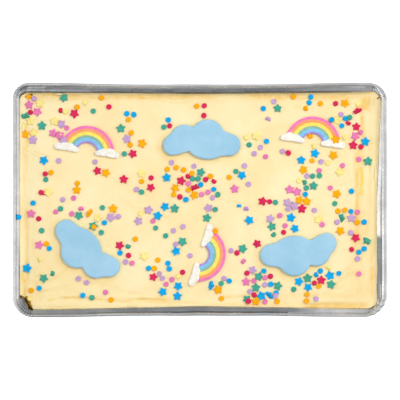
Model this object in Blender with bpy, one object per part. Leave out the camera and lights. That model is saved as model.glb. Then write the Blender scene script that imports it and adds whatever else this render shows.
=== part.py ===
"""A sheet cake in its foil baking tray: a sponge under cream-coloured frosting, strewn with sugar stars
and dots, with three fondant clouds and three sugar rainbows lying on top.
Metres, +Z up, the origin under the middle of the tray."""

import collections
import math
import random

import bmesh
import bpy
from mathutils import Matrix, Vector

MM = 0.001
GAP = 0.0003

# Foil tray, measured over its rolled rim
TRAY_LENGTH = 0.320
TRAY_WIDTH = 0.198
TRAY_HEIGHT = 0.036
FOIL = 0.0005
BEAD = 0.0028
LEDGE_START = 0.0334
LEDGE_HEIGHT = 0.0317
LEDGE_INSET = 0.0059
WALL_TAPER = 0.12
CORNER_TAPER = 0.0015
FLOOR_ROUND = 0.0030
ROLL_TUCK = 0.15
ROUND_START = 0.7
ROUND_MIDDLE = (0.2, 0.3)
PLEAT = 0.0004
CORNER_STEPS = 8
MIDDLES = ((0, 1), (-1, 0), (0, -1), (1, 0))

# The foil is bent a little out of true. The rim's corners differ, anticlockwise from the one at +X +Y
RIM_CORNERS = (0.0155, 0.0135, 0.0175, 0.0195)

# How far each wall is pushed towards +X or +Y, in mm, at one end, in its middle and at the other end, from
# left to right or from near to far. The push fades over this width, and ends this far from the middle
FAR_WALL = (0.5, -0.5, 0.9)
NEAR_WALL = (-2.0, 1.5, -0.9)
LEFT_WALL = (-1.7, -1.7, -1.7)
RIGHT_WALL = (-1.8, -2.2, 1.9)
PUSH_WIDTH = 0.030
PUSH_END = (0.117, 0.057)

# Cake
SPONGE_TOP = 0.0200
SPONGE_SHOULDER = 0.0012
SPONGE_CORNERS = (0.0102, 0.0084, 0.0165, 0.0142)
FROSTING_TOP = 0.0272
FROSTING_SHOULDER = 0.0010
FROSTING_CORNERS = (0.0104, 0.0086, 0.0190, 0.0144)
GRID_ACROSS = 28
GRID_UP = 17

# How far the frosting drops at the far wall and climbs at the others, and over what width
FAR_EDGE_DIP = 0.0012
EDGE_RISE = 0.0006
EDGE_WIDTH = 0.0070

# Slow swells in the frosting: height, wave lengths across and up, shift
SWELLS = (
    (0.00022, 0.190, 0.150, 0.4),
    (0.00016, 0.110, 0.135, 2.1),
)

# Broad sweeps of the palette knife, in mm: middle across and up, turn in degrees, length, width, depth
SWEEPS = (
    (-92, 62, 4, 90, 20, 0.35),
    (20, 72, -3, 150, 18, 0.40),
    (141, 28, 88, 125, 14, 0.65),
    (-20, -4, -7, 170, 22, 0.35),
    (-120, 0, 76, 110, 18, 0.30),
    (-96, -80, 8, 96, 16, 0.50),
    (36, -84, 2, 130, 14, 0.40),
    (118, -72, 28, 80, 20, 0.55),
    (60, 14, -12, 90, 20, 0.30),
)

# Fondant clouds, all from one cutter: lobes in mm as middle across and up, half width, half height
CLOUD_LOBES = (
    (-23.9, -4.8, 9.5, 9.5),
    (-14.8, 1.3, 11.6, 11.6),
    (5.2, 3.0, 14.3, 14.3),
    (23.8, -4.6, 9.9, 9.9),
    (5.7, -2.6, 19.2, 14.5),
)
CLOUD_THICKNESS = 0.0030
CLOUD_ROUND = 0.0009
CLOUD_SIDES = 36
NOTCH_SOFTNESS = (-6, -3, 0, 3, 6)
CLOUD_BED = (0.0430, 0.0270)

# Sugar rainbows: an arch of six bands whose ends stand in two small white clouds
ARCH_OUTER = 0.0235
ARCH_INNER = 0.0092
ARCH_THICKNESS = 0.0019
ARCH_CROWN = 0.0003
ARCH_STEPS = 12
ARCH_TRIM = 0.02
FOOT_MIDDLE = (0.0175, 0.0022)
FOOT_LOBES = (
    (6.6, 0.2, 4.2, 3.0),
    (2.6, 1.4, 4.4, 3.9),
    (-2.6, 1.0, 4.2, 3.4),
    (-6.6, -0.4, 4.0, 2.6),
)
FOOT_DROP = 0.0024
FOOT_THICKNESS = 0.0024
FOOT_ROUND = 0.0006
FOOT_SIDES = 12
RAINBOW_BED = (0.0400, 0.0280)
RAINBOW_BED_MIDDLE = 0.0105
BED_FADE = 0.5

# Name, kind, middle across and up in mm, turn in degrees
TOPPINGS = (
    ("cloud_top", "cloud", 1.3, 52.0, 0),
    ("cloud_left", "cloud", -99.5, -45.3, 140),
    ("cloud_right", "cloud", 85.6, -46.9, -168),
    ("rainbow_left", "rainbow", -97.5, 40.0, -9),
    ("rainbow_right", "rainbow", 96.7, 48.0, -8),
    ("rainbow_middle", "rainbow", -1.7, -46.3, -108),
)

# Sugar stars and dots
STAR_RADIUS = 0.0039
STAR_WAIST = 0.59
STAR_POINTS = 5
DOT_RADIUS = 0.0023
DOT_SIDES = 6
SPRINKLE_THICKNESS = 0.0013
SPRINKLE_SUNK = 0.0009
SPRINKLE_REACH = {"star": 0.0032, "dot": 0.0023}
TOPPING_CLEARANCE = 0.0011
WALL_CLEARANCE = 0.0010
SMALL_LEAN = 5.0
STEEP_SHARE = 0.07
STEEP_LEAN = (44, 60)
STEEP_FROM = 0.3
STEEP_LIFT = 0.20
SEED = 11
LOOSE_EVERY = 5
TRIES = 60
WIDENING = 0.7

# Each pinch of sprinkles as it fell: middle across and up and spread in mm, then its stars and its dots
PINCHES = (
    (-146, 79, 10, "pink pink teal lemon", "crimson lilac orange"),
    (-114, 82, 12, "crimson teal", "orange crimson lemon"),
    (-88, 88, 12, "", "lemon crimson teal orange"),
    (-143, 60, 10, "lilac orange teal lemon lemon", "lemon"),
    (-122, 60, 9, "pink lilac lemon", "pink lemon"),
    (-62, 68, 11, "teal", "orange blue orange blue"),
    (-61, 50, 11, "crimson orange lilac", "orange teal"),
    (-85, 29, 7, "crimson orange", "lilac"),
    (-126, 29, 10, "blue", "lilac crimson orange"),
    (-100, 9, 12, "orange", "orange pink"),
    (-138, 12, 16, "lemon", "teal crimson"),
    (-54, 18, 14, "crimson crimson lemon", "orange crimson lilac teal"),
    (-140, -8, 9, "pink", "crimson blue"),
    (-118, -9, 10, "", "pink pink teal lilac"),
    (-101, -14, 8, "orange teal", "pink"),
    (-79, -14, 9, "orange lilac lemon", "blue lilac teal"),
    (-90, -26, 5, "teal", "teal orange"),
    (-135, -36, 11, "pink", "blue teal orange"),
    (-138, -61, 13, "teal blue", "teal lemon"),
    (-140, -82, 8, "", "blue orange lemon"),
    (-96, -72, 13, "", "blue lilac lilac teal"),
    (-82, -82, 9, "", "orange pink"),
    (-68, -54, 9, "", "crimson blue lilac pink"),
    (-62, -36, 8, "crimson", "orange teal"),
    (-46, -18, 11, "lilac blue lilac", "pink teal lemon"),
    (-25, -18, 14, "teal blue", "teal lilac lilac"),
    (-15, -43, 8, "blue teal", "lilac lilac"),
    (-45, -44, 6, "lemon", ""),
    (-37, -59, 11, "crimson", "orange orange blue blue lilac lilac blue"),
    (-26, -77, 13, "blue blue blue", "pink pink lemon"),
    (2, 82, 13, "", "crimson crimson orange"),
    (-28, 66, 6, "", "blue crimson teal"),
    (-25, 26, 8, "blue", "lilac orange orange"),
    (-12, 10, 12, "crimson crimson orange orange", "orange orange crimson crimson blue pink pink"),
    (-6, 23, 9, "teal", "lilac teal orange orange teal"),
    (8, 11, 10, "", "crimson crimson pink teal blue orange blue lilac"),
    (5, -12, 9, "teal lilac", "teal"),
    (34, 17, 13, "pink blue", "lilac teal orange lilac"),
    (50, 46, 14, "lemon", "lilac pink blue lilac teal lemon"),
    (58, 75, 14, "teal", "blue lilac lilac"),
    (92, 85, 16, "", "blue blue orange orange orange"),
    (125, 79, 13, "crimson orange lemon", "crimson lemon"),
    (122, 68, 6, "", "blue blue lilac crimson teal blue"),
    (133, 56, 11, "crimson crimson blue pink", "pink lemon"),
    (93, 37, 12, "blue blue", "lilac lemon"),
    (97, 26, 10, "orange", "orange teal pink lilac"),
    (116, 32, 10, "orange lemon", "pink lemon"),
    (138, 37, 9, "teal", "crimson pink"),
    (95, 15, 7, "teal", "teal teal teal lemon"),
    (84, 0, 9, "orange lilac lilac pink crimson pink orange", "blue lilac"),
    (61, -7, 10, "crimson lilac", "pink teal crimson"),
    (38, -12, 7, "blue", "lilac"),
    (72, -24, 12, "blue teal blue", "pink teal crimson"),
    (39, -40, 13, "teal crimson", "crimson pink lilac"),
    (120, 0, 14, "orange", "orange orange teal blue pink blue"),
    (128, -18, 12, "orange teal lilac", "orange pink lilac lilac blue"),
    (98, -16, 9, "lemon", "pink lilac"),
    (138, -37, 9, "crimson teal", "blue blue crimson"),
    (130, -56, 14, "", "lilac pink blue"),
    (91, -68, 8, "teal blue blue", "blue crimson"),
    (108, -66, 8, "crimson blue teal", "blue lemon"),
    (47, -67, 10, "lilac teal teal pink", "lilac blue pink crimson"),
    (56, -74, 11, "teal blue blue", "crimson blue pink crimson blue"),
    (54, -84, 9, "orange teal", "crimson lilac pink lilac orange"),
    (17, -74, 11, "orange blue", "lilac orange blue teal"),
    (92, -80, 12, "", "teal orange orange orange lilac"),
)

FOIL_COLOUR = (0.78, 0.79, 0.80)
SPONGE_COLOUR = (0.45, 0.24, 0.07)
FROSTING_COLOUR = (0.97, 0.84, 0.52)
FONDANT_COLOUR = (0.40, 0.65, 0.83)
SUGAR_COLOUR = (0.93, 0.50, 0.55)

Sprinkle = collections.namedtuple("Sprinkle", "kind hue x y turn lean lean_turn raised")


def clear_scene():
    for obj in list(bpy.data.objects):
        bpy.data.objects.remove(obj)


def finish(name, colour, roughness, metallic=0.0):
    material = bpy.data.materials.new(name)
    material.use_nodes = True
    shader = material.node_tree.nodes["Principled BSDF"]
    shader.inputs["Base Color"].default_value = (*colour, 1.0)
    shader.inputs["Roughness"].default_value = roughness
    shader.inputs["Metallic"].default_value = metallic
    return material


def add_object(name, bm, material=None):
    """The mesh as an object in the scene, with its faces turned outwards."""
    bmesh.ops.recalc_face_normals(bm, faces=bm.faces)
    mesh = bpy.data.meshes.new(name)
    bm.to_mesh(mesh)
    bm.free()
    obj = bpy.data.objects.new(name, mesh)
    if material:
        mesh.materials.append(material)
    bpy.context.scene.collection.objects.link(obj)
    return obj


def shade_round(obj, sharp_degrees=35):
    obj.data.shade_smooth()
    obj.data.set_sharp_from_angle(angle=math.radians(sharp_degrees))


def loft(rings):
    """A closed skin through rings of points that all have as many points, its first and last ring filled."""
    bm = bmesh.new()
    station = bm.verts.layers.int.new("station")
    loop = [bm.verts.new(point) for point in rings[0]]
    for index, vert in enumerate(loop):
        vert[station] = index
    edges = [bm.edges.new((loop[index - 1], loop[index])) for index in range(len(loop))]
    bmesh.ops.contextual_create(bm, geom=edges)
    for ring in rings[1:]:
        grown = bmesh.ops.extrude_edge_only(bm, edges=edges)["geom"]
        fresh = {item for item in grown if isinstance(item, bmesh.types.BMVert)}
        edges = [item for item in grown if isinstance(item, bmesh.types.BMEdge) and fresh.issuperset(item.verts)]
        for vert in fresh:
            vert.co = ring[vert[station]]
    bmesh.ops.contextual_create(bm, geom=edges)
    return bm


def union(target, others):
    """Joins the other objects to the target for good, by one Boolean on a collection, and removes them."""
    group = bpy.data.collections.new("joined_to_" + target.name)
    bpy.context.scene.collection.children.link(group)
    for obj in others:
        group.objects.link(obj)
    modifier = target.modifiers.new("join", "BOOLEAN")
    modifier.operation = "UNION"
    modifier.operand_type = "COLLECTION"
    modifier.collection = group
    modifier.solver = "EXACT"
    bpy.context.view_layer.objects.active = target
    bpy.ops.object.modifier_apply(modifier=modifier.name)
    for obj in others:
        bpy.data.objects.remove(obj)
    bpy.data.collections.remove(group)


def wall_inset(height):
    """How far the tray's inner wall lies inside the rim's outer edge at this height."""
    return LEDGE_INSET + (LEDGE_HEIGHT - height) * WALL_TAPER


def wall_corners(height):
    """The radii of the tray's inner corners at this height."""
    drawn_in = CORNER_TAPER * (1 - height / LEDGE_HEIGHT)
    return [radius - LEDGE_INSET - drawn_in for radius in RIM_CORNERS]


def rounded_ring(inset, radii, height, steps, pleat=0.0):
    """Points round a rectangle with rounded corners, anticlockwise from the corner at +X +Y, with one in the
    middle of each side."""
    half_length = TRAY_LENGTH / 2 - inset
    half_width = TRAY_WIDTH / 2 - inset
    ring = []
    for quarter, radius in enumerate(radii):
        side_x = 1 if quarter in (0, 3) else -1
        side_y = 1 if quarter in (0, 1) else -1
        for step in range(steps + 1):
            angle = math.radians(90 * (quarter + step / steps))
            fold = 0.0 if step in (0, steps) else pleat * (-1) ** step
            reach = radius + fold
            x = side_x * (half_length - radius) + reach * math.cos(angle)
            y = side_y * (half_width - radius) + reach * math.sin(angle)
            ring.append(Vector((x, y, height)))
        next_x, next_y = MIDDLES[quarter]
        ring.append(Vector((next_x * half_length, next_y * half_width, height)))
    return ring


def smooth_step(value):
    value = min(max(value, 0.0), 1.0)
    return value * value * (3 - 2 * value)


def push_along(wall, share):
    """The push on a wall this share of the way from its middle to an end, with a minus sign at its first end."""
    first, middle, last = wall
    end = last if share > 0 else first
    return MM * (middle + abs(share) * (end - middle))


def wall_push(x, y):
    """How far the bent walls move a point of the basin: fully beside them, and not in the middle of the cake."""
    push_x = push_along(RIGHT_WALL if x > 0 else LEFT_WALL, 2 * y / TRAY_WIDTH)
    push_y = push_along(FAR_WALL if y > 0 else NEAR_WALL, 2 * x / TRAY_LENGTH)
    near_x = smooth_step((abs(x) - PUSH_END[0]) / PUSH_WIDTH)
    near_y = smooth_step((abs(y) - PUSH_END[1]) / PUSH_WIDTH)
    return near_x * push_x, near_y * push_y


def in_basin(ring):
    """Bends a ring of the basin, or of the cake in it, as the tray's walls are bent."""
    return [point + Vector((*wall_push(point.x, point.y), 0.0)) for point in ring]


def rim_ring(inset, height, pleat=0.0):
    """A ring of the rolled rim, this far inside its outer edge."""
    return rounded_ring(inset, [radius - inset for radius in RIM_CORNERS], height, CORNER_STEPS, pleat)


def basin_ring(inset, height, pleat=0.0, outside=0.0):
    """A ring of the basin. One on its outside is given the foil's thickness to move out by."""
    radii = [radius + outside for radius in wall_corners(height)]
    return in_basin(rounded_ring(inset - outside, radii, height, CORNER_STEPS, pleat))


def foil_tray(material):
    """Floor, sloping walls, a narrow ledge and the rolled rim, pleated in the corners."""
    wall_foot = FLOOR_ROUND + FOIL
    foot = wall_inset(wall_foot)
    floor_edge = foot + ROUND_START * FLOOR_ROUND
    bend, bend_height = foot + ROUND_MIDDLE[0] * FLOOR_ROUND, ROUND_MIDDLE[1] * FLOOR_ROUND
    tuck = ROLL_TUCK * BEAD
    roll_middle = TRAY_HEIGHT - BEAD / 2
    rings = [
        basin_ring(floor_edge, 0.0, 0.0, FOIL),
        basin_ring(bend, bend_height, 0.0, FOIL),
        basin_ring(foot, FLOOR_ROUND, PLEAT, FOIL),
        basin_ring(LEDGE_INSET, LEDGE_HEIGHT - FOIL, PLEAT, FOIL),
        rim_ring(BEAD - FOIL, TRAY_HEIGHT - BEAD, PLEAT),
        rim_ring(tuck, TRAY_HEIGHT - BEAD + tuck),
        rim_ring(0.0, roll_middle),
        rim_ring(tuck, TRAY_HEIGHT - tuck),
        rim_ring(BEAD / 2, TRAY_HEIGHT),
        rim_ring(BEAD - tuck, TRAY_HEIGHT - tuck),
        rim_ring(BEAD, roll_middle, PLEAT),
        rim_ring(BEAD, LEDGE_START, PLEAT),
        basin_ring(LEDGE_INSET, LEDGE_HEIGHT, PLEAT),
        basin_ring(foot, wall_foot, PLEAT),
        basin_ring(bend, FOIL + bend_height),
        basin_ring(floor_edge, FOIL),
    ]
    tray = add_object("foil_tray", loft(rings), material)
    shade_round(tray)
    return tray


def cake_ring(height, inset, corners, steps=6):
    """A ring of the cake's side, this far inside the gap it keeps to the tray's wall."""
    edge = wall_inset(height) + GAP + inset
    return in_basin(rounded_ring(edge, [radius - inset for radius in corners], height, steps))


def sponge(material):
    """The baked sponge, its top edges a little rounded and its lower edge clear of the tray's rounded floor."""
    floor_top = FOIL + GAP
    rings = [
        cake_ring(floor_top, FLOOR_ROUND, SPONGE_CORNERS),
        cake_ring(floor_top + FLOOR_ROUND, 0.0, SPONGE_CORNERS),
        cake_ring(SPONGE_TOP - SPONGE_SHOULDER, 0.0, SPONGE_CORNERS),
        cake_ring(SPONGE_TOP, SPONGE_SHOULDER, SPONGE_CORNERS),
    ]
    cake = add_object("sponge", loft(rings), material)
    shade_round(cake)
    return cake


def ray_to_lobe(angle, lobe):
    """How far from the middle a ray at this angle leaves an oval lobe, or 0 where it misses it, in mm."""
    across, up, half_width, half_height = lobe
    ray_x = math.cos(angle) / half_width
    ray_y = math.sin(angle) / half_height
    middle_x = across / half_width
    middle_y = up / half_height
    square = ray_x**2 + ray_y**2
    along = ray_x * middle_x + ray_y * middle_y
    inside = along**2 - square * (middle_x**2 + middle_y**2 - 1)
    return (along + math.sqrt(inside)) / square if inside > 0 else 0.0


def lobed_reach(angle, lobes):
    """The outline of overlapping lobes at this angle, its notches softened, in metres."""
    reaches = [
        max(ray_to_lobe(angle + math.radians(offset), lobe) for lobe in lobes) for offset in NOTCH_SOFTNESS
    ]
    return MM * sum(reaches) / len(reaches)


def place_of(topping):
    """Where a topping lies, as a turn and a move in the plane of the frosting's top."""
    _, _, across, up, turn = topping
    spot = Matrix.Translation((across * MM, up * MM, 0.0))
    return spot @ Matrix.Rotation(math.radians(turn), 4, "Z")


def over_lobes(x, y, lobes, margin):
    """Whether a point lies on overlapping lobes, or closer to them than the margin."""
    for across, up, half_width, half_height in lobes:
        ratio_x = (x - across * MM) / (half_width * MM + margin)
        ratio_y = (y - up * MM) / (half_height * MM + margin)
        if math.hypot(ratio_x, ratio_y) < 1:
            return True
    return False


def over_topping(x, y, reach):
    """Whether something this wide would touch a topping."""
    margin = reach + TOPPING_CLEARANCE
    for topping in TOPPINGS:
        near = place_of(topping).inverted() @ Vector((x, y, 0.0))
        if topping[1] == "cloud":
            if over_lobes(near.x, near.y, CLOUD_LOBES, margin):
                return True
            continue
        far = math.hypot(near.x, near.y)
        if ARCH_INNER - margin < far < ARCH_OUTER + margin and near.y > -margin:
            return True
        if over_lobes(abs(near.x) - FOOT_MIDDLE[0], near.y - FOOT_MIDDLE[1], FOOT_LOBES, margin):
            return True
    return False


def side_distances(x, y):
    """How far a point lies from the frosting's far side, and from the nearest of its other sides."""
    push_x = push_along(RIGHT_WALL if x > 0 else LEFT_WALL, 2 * y / TRAY_WIDTH)
    push_y = push_along(FAR_WALL if y > 0 else NEAR_WALL, 2 * x / TRAY_LENGTH)
    edge = wall_inset(FROSTING_TOP) + GAP
    half_length = TRAY_LENGTH / 2 - edge
    half_width = TRAY_WIDTH / 2 - edge
    to_end = half_length - abs(x - push_x)
    to_far, to_near = half_width - (y - push_y), half_width + (y - push_y)
    return to_far, min(to_end, to_near)


def past_edge(x, y, reach):
    """Whether something this wide would hang past the frosting's edge, or past one of its rounded corners."""
    if min(side_distances(x, y)) < reach:
        return True
    push_x, push_y = wall_push(x, y)
    x, y = x - push_x, y - push_y
    edge = wall_inset(FROSTING_TOP) + GAP
    quarter = (0 if x > 0 else 1) if y > 0 else (3 if x > 0 else 2)
    radius = FROSTING_CORNERS[quarter]
    out_x = abs(x) - (TRAY_LENGTH / 2 - edge - radius)
    out_y = abs(y) - (TRAY_WIDTH / 2 - edge - radius)
    return out_x > 0 and out_y > 0 and math.hypot(out_x, out_y) > radius - reach


def bed_cover(x, y):
    """1 where a topping has pressed the frosting flat, falling to 0 round it."""
    cover = 0.0
    for topping in TOPPINGS:
        near = place_of(topping).inverted() @ Vector((x, y, 0.0))
        if topping[1] == "cloud":
            ratio = math.hypot(near.x / CLOUD_BED[0], near.y / CLOUD_BED[1])
        else:
            ratio = math.hypot(near.x / RAINBOW_BED[0], (near.y - RAINBOW_BED_MIDDLE) / RAINBOW_BED[1])
        cover = max(cover, 1 - smooth_step((ratio - 1) / BED_FADE))
    return cover


def sweep_depth(x, y, sweep):
    """The hollow that one sweep of the knife leaves here, in mm."""
    across, up, turn, length, width, depth = sweep
    angle = math.radians(turn)
    dx, dy = x / MM - across, y / MM - up
    along = dx * math.cos(angle) + dy * math.sin(angle)
    aside = dy * math.cos(angle) - dx * math.sin(angle)
    ratio = (2 * along / length) ** 2 + (2 * aside / width) ** 2
    return depth * max(0.0, 1 - ratio) ** 2


def frosting_height(x, y):
    """The height of the frosting's top: slow swells, knife sweeps, and its rise or drop at the tray's walls."""
    relief = 0.0
    for height, across, up, shift in SWELLS:
        relief += height * math.sin(math.tau * x / across + shift) * math.cos(math.tau * y / up - shift)
    relief -= MM * sum(sweep_depth(x, y, sweep) for sweep in SWEEPS)
    relief *= 1 - bed_cover(x, y)
    at_far_wall, at_wall = (max(0.0, 1 - far / EDGE_WIDTH) ** 2 for far in side_distances(x, y))
    return FROSTING_TOP + relief + EDGE_RISE * at_wall - FAR_EDGE_DIP * at_far_wall


def slab_point(u, v, height, inset):
    """A point of the frosting's slab: u and v run from -1 to 1 across a square whose corners are rounded off."""
    edge = wall_inset(height) + GAP + inset
    half_length = TRAY_LENGTH / 2 - edge
    half_width = TRAY_WIDTH / 2 - edge
    quarter = (0 if u > 0 else 1) if v > 0 else (3 if u > 0 else 2)
    radius = FROSTING_CORNERS[quarter] - inset
    x, y = abs(u) * half_length, abs(v) * half_width
    in_x = max(0.0, (x - half_length + radius) / radius)
    in_y = max(0.0, (y - half_width + radius) / radius)
    if in_x > 0 and in_y > 0:
        x = half_length - radius + radius * in_x * math.sqrt(1 - in_y**2 / 2)
        y = half_width - radius + radius * in_y * math.sqrt(1 - in_x**2 / 2)
    x, y = math.copysign(x, u), math.copysign(y, v)
    push_x, push_y = wall_push(x, y)
    return x + push_x, y + push_y


def frosting_slab():
    """The spread frosting: a grid for its uneven top, then a shoulder and a side down to the sponge."""
    bm = bmesh.new()
    bmesh.ops.create_grid(bm, x_segments=GRID_ACROSS, y_segments=GRID_UP, size=1.0)
    u_layer = bm.verts.layers.float.new("u")
    v_layer = bm.verts.layers.float.new("v")
    for vert in bm.verts:
        vert[u_layer], vert[v_layer] = vert.co.x, vert.co.y
        x, y = slab_point(vert.co.x, vert.co.y, FROSTING_TOP, FROSTING_SHOULDER)
        vert.co = (x, y, frosting_height(x, y))
    rim = [edge for edge in bm.edges if edge.is_boundary]
    for is_bottom in (False, True):
        grown = bmesh.ops.extrude_edge_only(bm, edges=rim)["geom"]
        fresh = {item for item in grown if isinstance(item, bmesh.types.BMVert)}
        rim = [item for item in grown if isinstance(item, bmesh.types.BMEdge) and fresh.issuperset(item.verts)]
        for vert in fresh:
            height = SPONGE_TOP + GAP if is_bottom else vert.co.z - FROSTING_SHOULDER
            x, y = slab_point(vert[u_layer], vert[v_layer], height, 0.0)
            vert.co = (x, y, height)
    bmesh.ops.contextual_create(bm, geom=rim)
    return bm


def fallen_spot(draw, placed, pinch, reach):
    """A free spot near the pinch's middle, or else one on top of the sprinkles that already lie there."""
    across, up, spread = (value * MM for value in pinch[:3])
    best, best_room = None, -1.0
    for attempt in range(TRIES):
        angle = draw.uniform(0, math.tau)
        far = spread * (1 + WIDENING * attempt / TRIES) * math.sqrt(draw.random())
        x = across + far * math.cos(angle)
        y = up + far * math.sin(angle)
        if past_edge(x, y, reach + WALL_CLEARANCE) or over_topping(x, y, reach):
            continue
        rooms = [math.hypot(x - other.x, y - other.y) - SPRINKLE_REACH[other.kind] for other in placed]
        if all(room > reach for room in rooms):
            return x, y, False
        raised_rooms = [room for room, other in zip(rooms, placed) if other.raised]
        room = min(raised_rooms, default=1.0)
        if room > best_room:
            best, best_room = (x, y), room
    return (*best, True) if best else None


def scatter():
    """Every star and dot where it fell, pinch by pinch."""
    draw = random.Random(SEED)
    placed = []
    for pinch in PINCHES:
        wanted = [("star", hue) for hue in pinch[3].split()]
        wanted += [("dot", hue) for hue in pinch[4].split()]
        for kind, hue in wanted:
            spot = fallen_spot(draw, placed, pinch, SPRINKLE_REACH[kind])
            turn = draw.uniform(0, math.tau)
            steep = draw.random() < STEEP_SHARE
            lean = draw.uniform(*STEEP_LEAN) if steep else draw.gauss(0, SMALL_LEAN)
            lean_turn = draw.uniform(0, math.tau)
            if spot:
                x, y, raised = spot
                placed.append(Sprinkle(kind, hue, x, y, turn, math.radians(lean), lean_turn, raised))
    return placed


def sprinkle_place(sprinkle):
    """Where a sprinkle lies, leaning a little, or standing steeply in the frosting."""
    radius = STAR_RADIUS if sprinkle.kind == "star" else DOT_RADIUS
    lift = STEEP_LIFT * radius * max(0.0, abs(math.sin(sprinkle.lean)) - STEEP_FROM)
    height = frosting_height(sprinkle.x, sprinkle.y) - SPRINKLE_SUNK + lift
    axis = Vector((math.cos(sprinkle.lean_turn), math.sin(sprinkle.lean_turn), 0.0))
    spot = Matrix.Translation((sprinkle.x, sprinkle.y, height))
    return spot @ Matrix.Rotation(sprinkle.lean, 4, axis) @ Matrix.Rotation(sprinkle.turn, 4, "Z")


def sprinkle_solid(sprinkle):
    """A flat star with five points, or a flat round dot."""
    bm = bmesh.new()
    if sprinkle.kind == "star":
        bmesh.ops.create_circle(bm, cap_ends=True, radius=STAR_RADIUS, segments=2 * STAR_POINTS)
        for vert in list(bm.verts)[1::2]:
            vert.co *= STAR_WAIST
    else:
        bmesh.ops.create_circle(bm, cap_ends=True, radius=DOT_RADIUS, segments=DOT_SIDES)
    raised = bmesh.ops.extrude_face_region(bm, geom=bm.faces[:])["geom"]
    top = [item for item in raised if isinstance(item, bmesh.types.BMVert)]
    bmesh.ops.translate(bm, verts=top, vec=(0, 0, SPRINKLE_THICKNESS + SPRINKLE_SUNK))
    bmesh.ops.transform(bm, verts=bm.verts, matrix=sprinkle_place(sprinkle))
    return add_object("sprinkle", bm)


def stuck_in():
    """The sprinkles that are stuck in the frosting: the stars, and the dots but for every fifth."""
    lying = [sprinkle for sprinkle in scatter() if not sprinkle.raised]
    stars = [sprinkle for sprinkle in lying if sprinkle.kind == "star"]
    dots = [sprinkle for sprinkle in lying if sprinkle.kind == "dot"]
    return stars + [dot for index, dot in enumerate(dots) if index % LOOSE_EVERY]


def frosting(material):
    """The frosting with the stars and dots that are stuck in it."""
    cream = add_object("frosting", frosting_slab(), material)
    union(cream, [sprinkle_solid(sprinkle) for sprinkle in stuck_in()])
    shade_round(cream, 25)
    return cream


def lobed_ring(lobes, sides, inset, height, floor=None):
    """A ring round a lobed outline, cut straight along its foot where a floor is given."""
    ring = []
    for side in range(sides):
        angle = math.tau * side / sides
        reach = lobed_reach(angle, lobes) - inset
        x, y = reach * math.cos(angle), reach * math.sin(angle)
        if floor is not None:
            y = max(y, inset - floor)
        ring.append(Vector((x, y, height)))
    return ring


def lobed_slab(lobes, sides, thickness, rounding, floor=None):
    """A flat piece with a lobed outline and a rounded upper edge."""
    rings = [
        lobed_ring(lobes, sides, 0.0, 0.0, floor),
        lobed_ring(lobes, sides, 0.0, thickness - rounding, floor),
        lobed_ring(lobes, sides, 0.3 * rounding, thickness - 0.3 * rounding, floor),
        lobed_ring(lobes, sides, rounding, thickness, floor),
    ]
    return loft(rings)


def topping_place(topping):
    return Matrix.Translation((0.0, 0.0, FROSTING_TOP + GAP)) @ place_of(topping)


def fondant_cloud(topping, material):
    bm = lobed_slab(CLOUD_LOBES, CLOUD_SIDES, CLOUD_THICKNESS, CLOUD_ROUND)
    cloud = add_object(topping[0], bm, material)
    cloud.matrix_world = topping_place(topping)
    shade_round(cloud)
    return cloud


def arch_section(angle):
    """The arch's section at this angle: a flat bar with a slightly crowned top."""
    way = Vector((math.cos(angle), math.sin(angle), 0.0))
    middle = (ARCH_INNER + ARCH_OUTER) / 2
    side = ARCH_THICKNESS - ARCH_CROWN
    corners = [
        (ARCH_INNER, 0.0),
        (ARCH_OUTER, 0.0),
        (ARCH_OUTER, side),
        (middle, ARCH_THICKNESS),
        (ARCH_INNER, side),
    ]
    return [way * reach + Vector((0, 0, height)) for reach, height in corners]


def foot_solid(side):
    """One of the small white clouds that the arch stands in."""
    bm = lobed_slab(FOOT_LOBES, FOOT_SIDES, FOOT_THICKNESS, FOOT_ROUND, FOOT_DROP)
    if side < 0:
        bmesh.ops.scale(bm, verts=bm.verts, vec=(-1, 1, 1))
    bmesh.ops.translate(bm, verts=bm.verts, vec=(side * FOOT_MIDDLE[0], FOOT_MIDDLE[1], 0.0))
    return add_object("foot", bm)


def sugar_rainbow(topping, material):
    trim = math.pi * ARCH_TRIM
    span = math.pi - 2 * trim
    sections = [arch_section(trim + span * step / ARCH_STEPS) for step in range(ARCH_STEPS + 1)]
    rainbow = add_object(topping[0], loft(sections), material)
    union(rainbow, [foot_solid(-1), foot_solid(1)])
    rainbow.matrix_world = topping_place(topping)
    shade_round(rainbow)
    return rainbow


def build():
    clear_scene()
    foil_tray(finish("foil", FOIL_COLOUR, 0.28, 1.0))
    sponge(finish("sponge_crust", SPONGE_COLOUR, 0.85))
    frosting(finish("frosting", FROSTING_COLOUR, 0.42))
    fondant = finish("blue_fondant", FONDANT_COLOUR, 0.55)
    sugar = finish("rainbow_sugar", SUGAR_COLOUR, 0.5)
    for topping in TOPPINGS:
        if topping[1] == "cloud":
            fondant_cloud(topping, fondant)
        else:
            sugar_rainbow(topping, sugar)


build()
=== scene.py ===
"""The looks of a sheet cake in its foil baking tray: crinkled foil, frosting with its knife marks, sugar
stars and dots, fondant clouds and sugar rainbows. Everything is in metres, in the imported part's own
frame."""

import collections
import math
import random

import bmesh
import bpy
from mathutils import Matrix, Vector, noise


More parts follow.
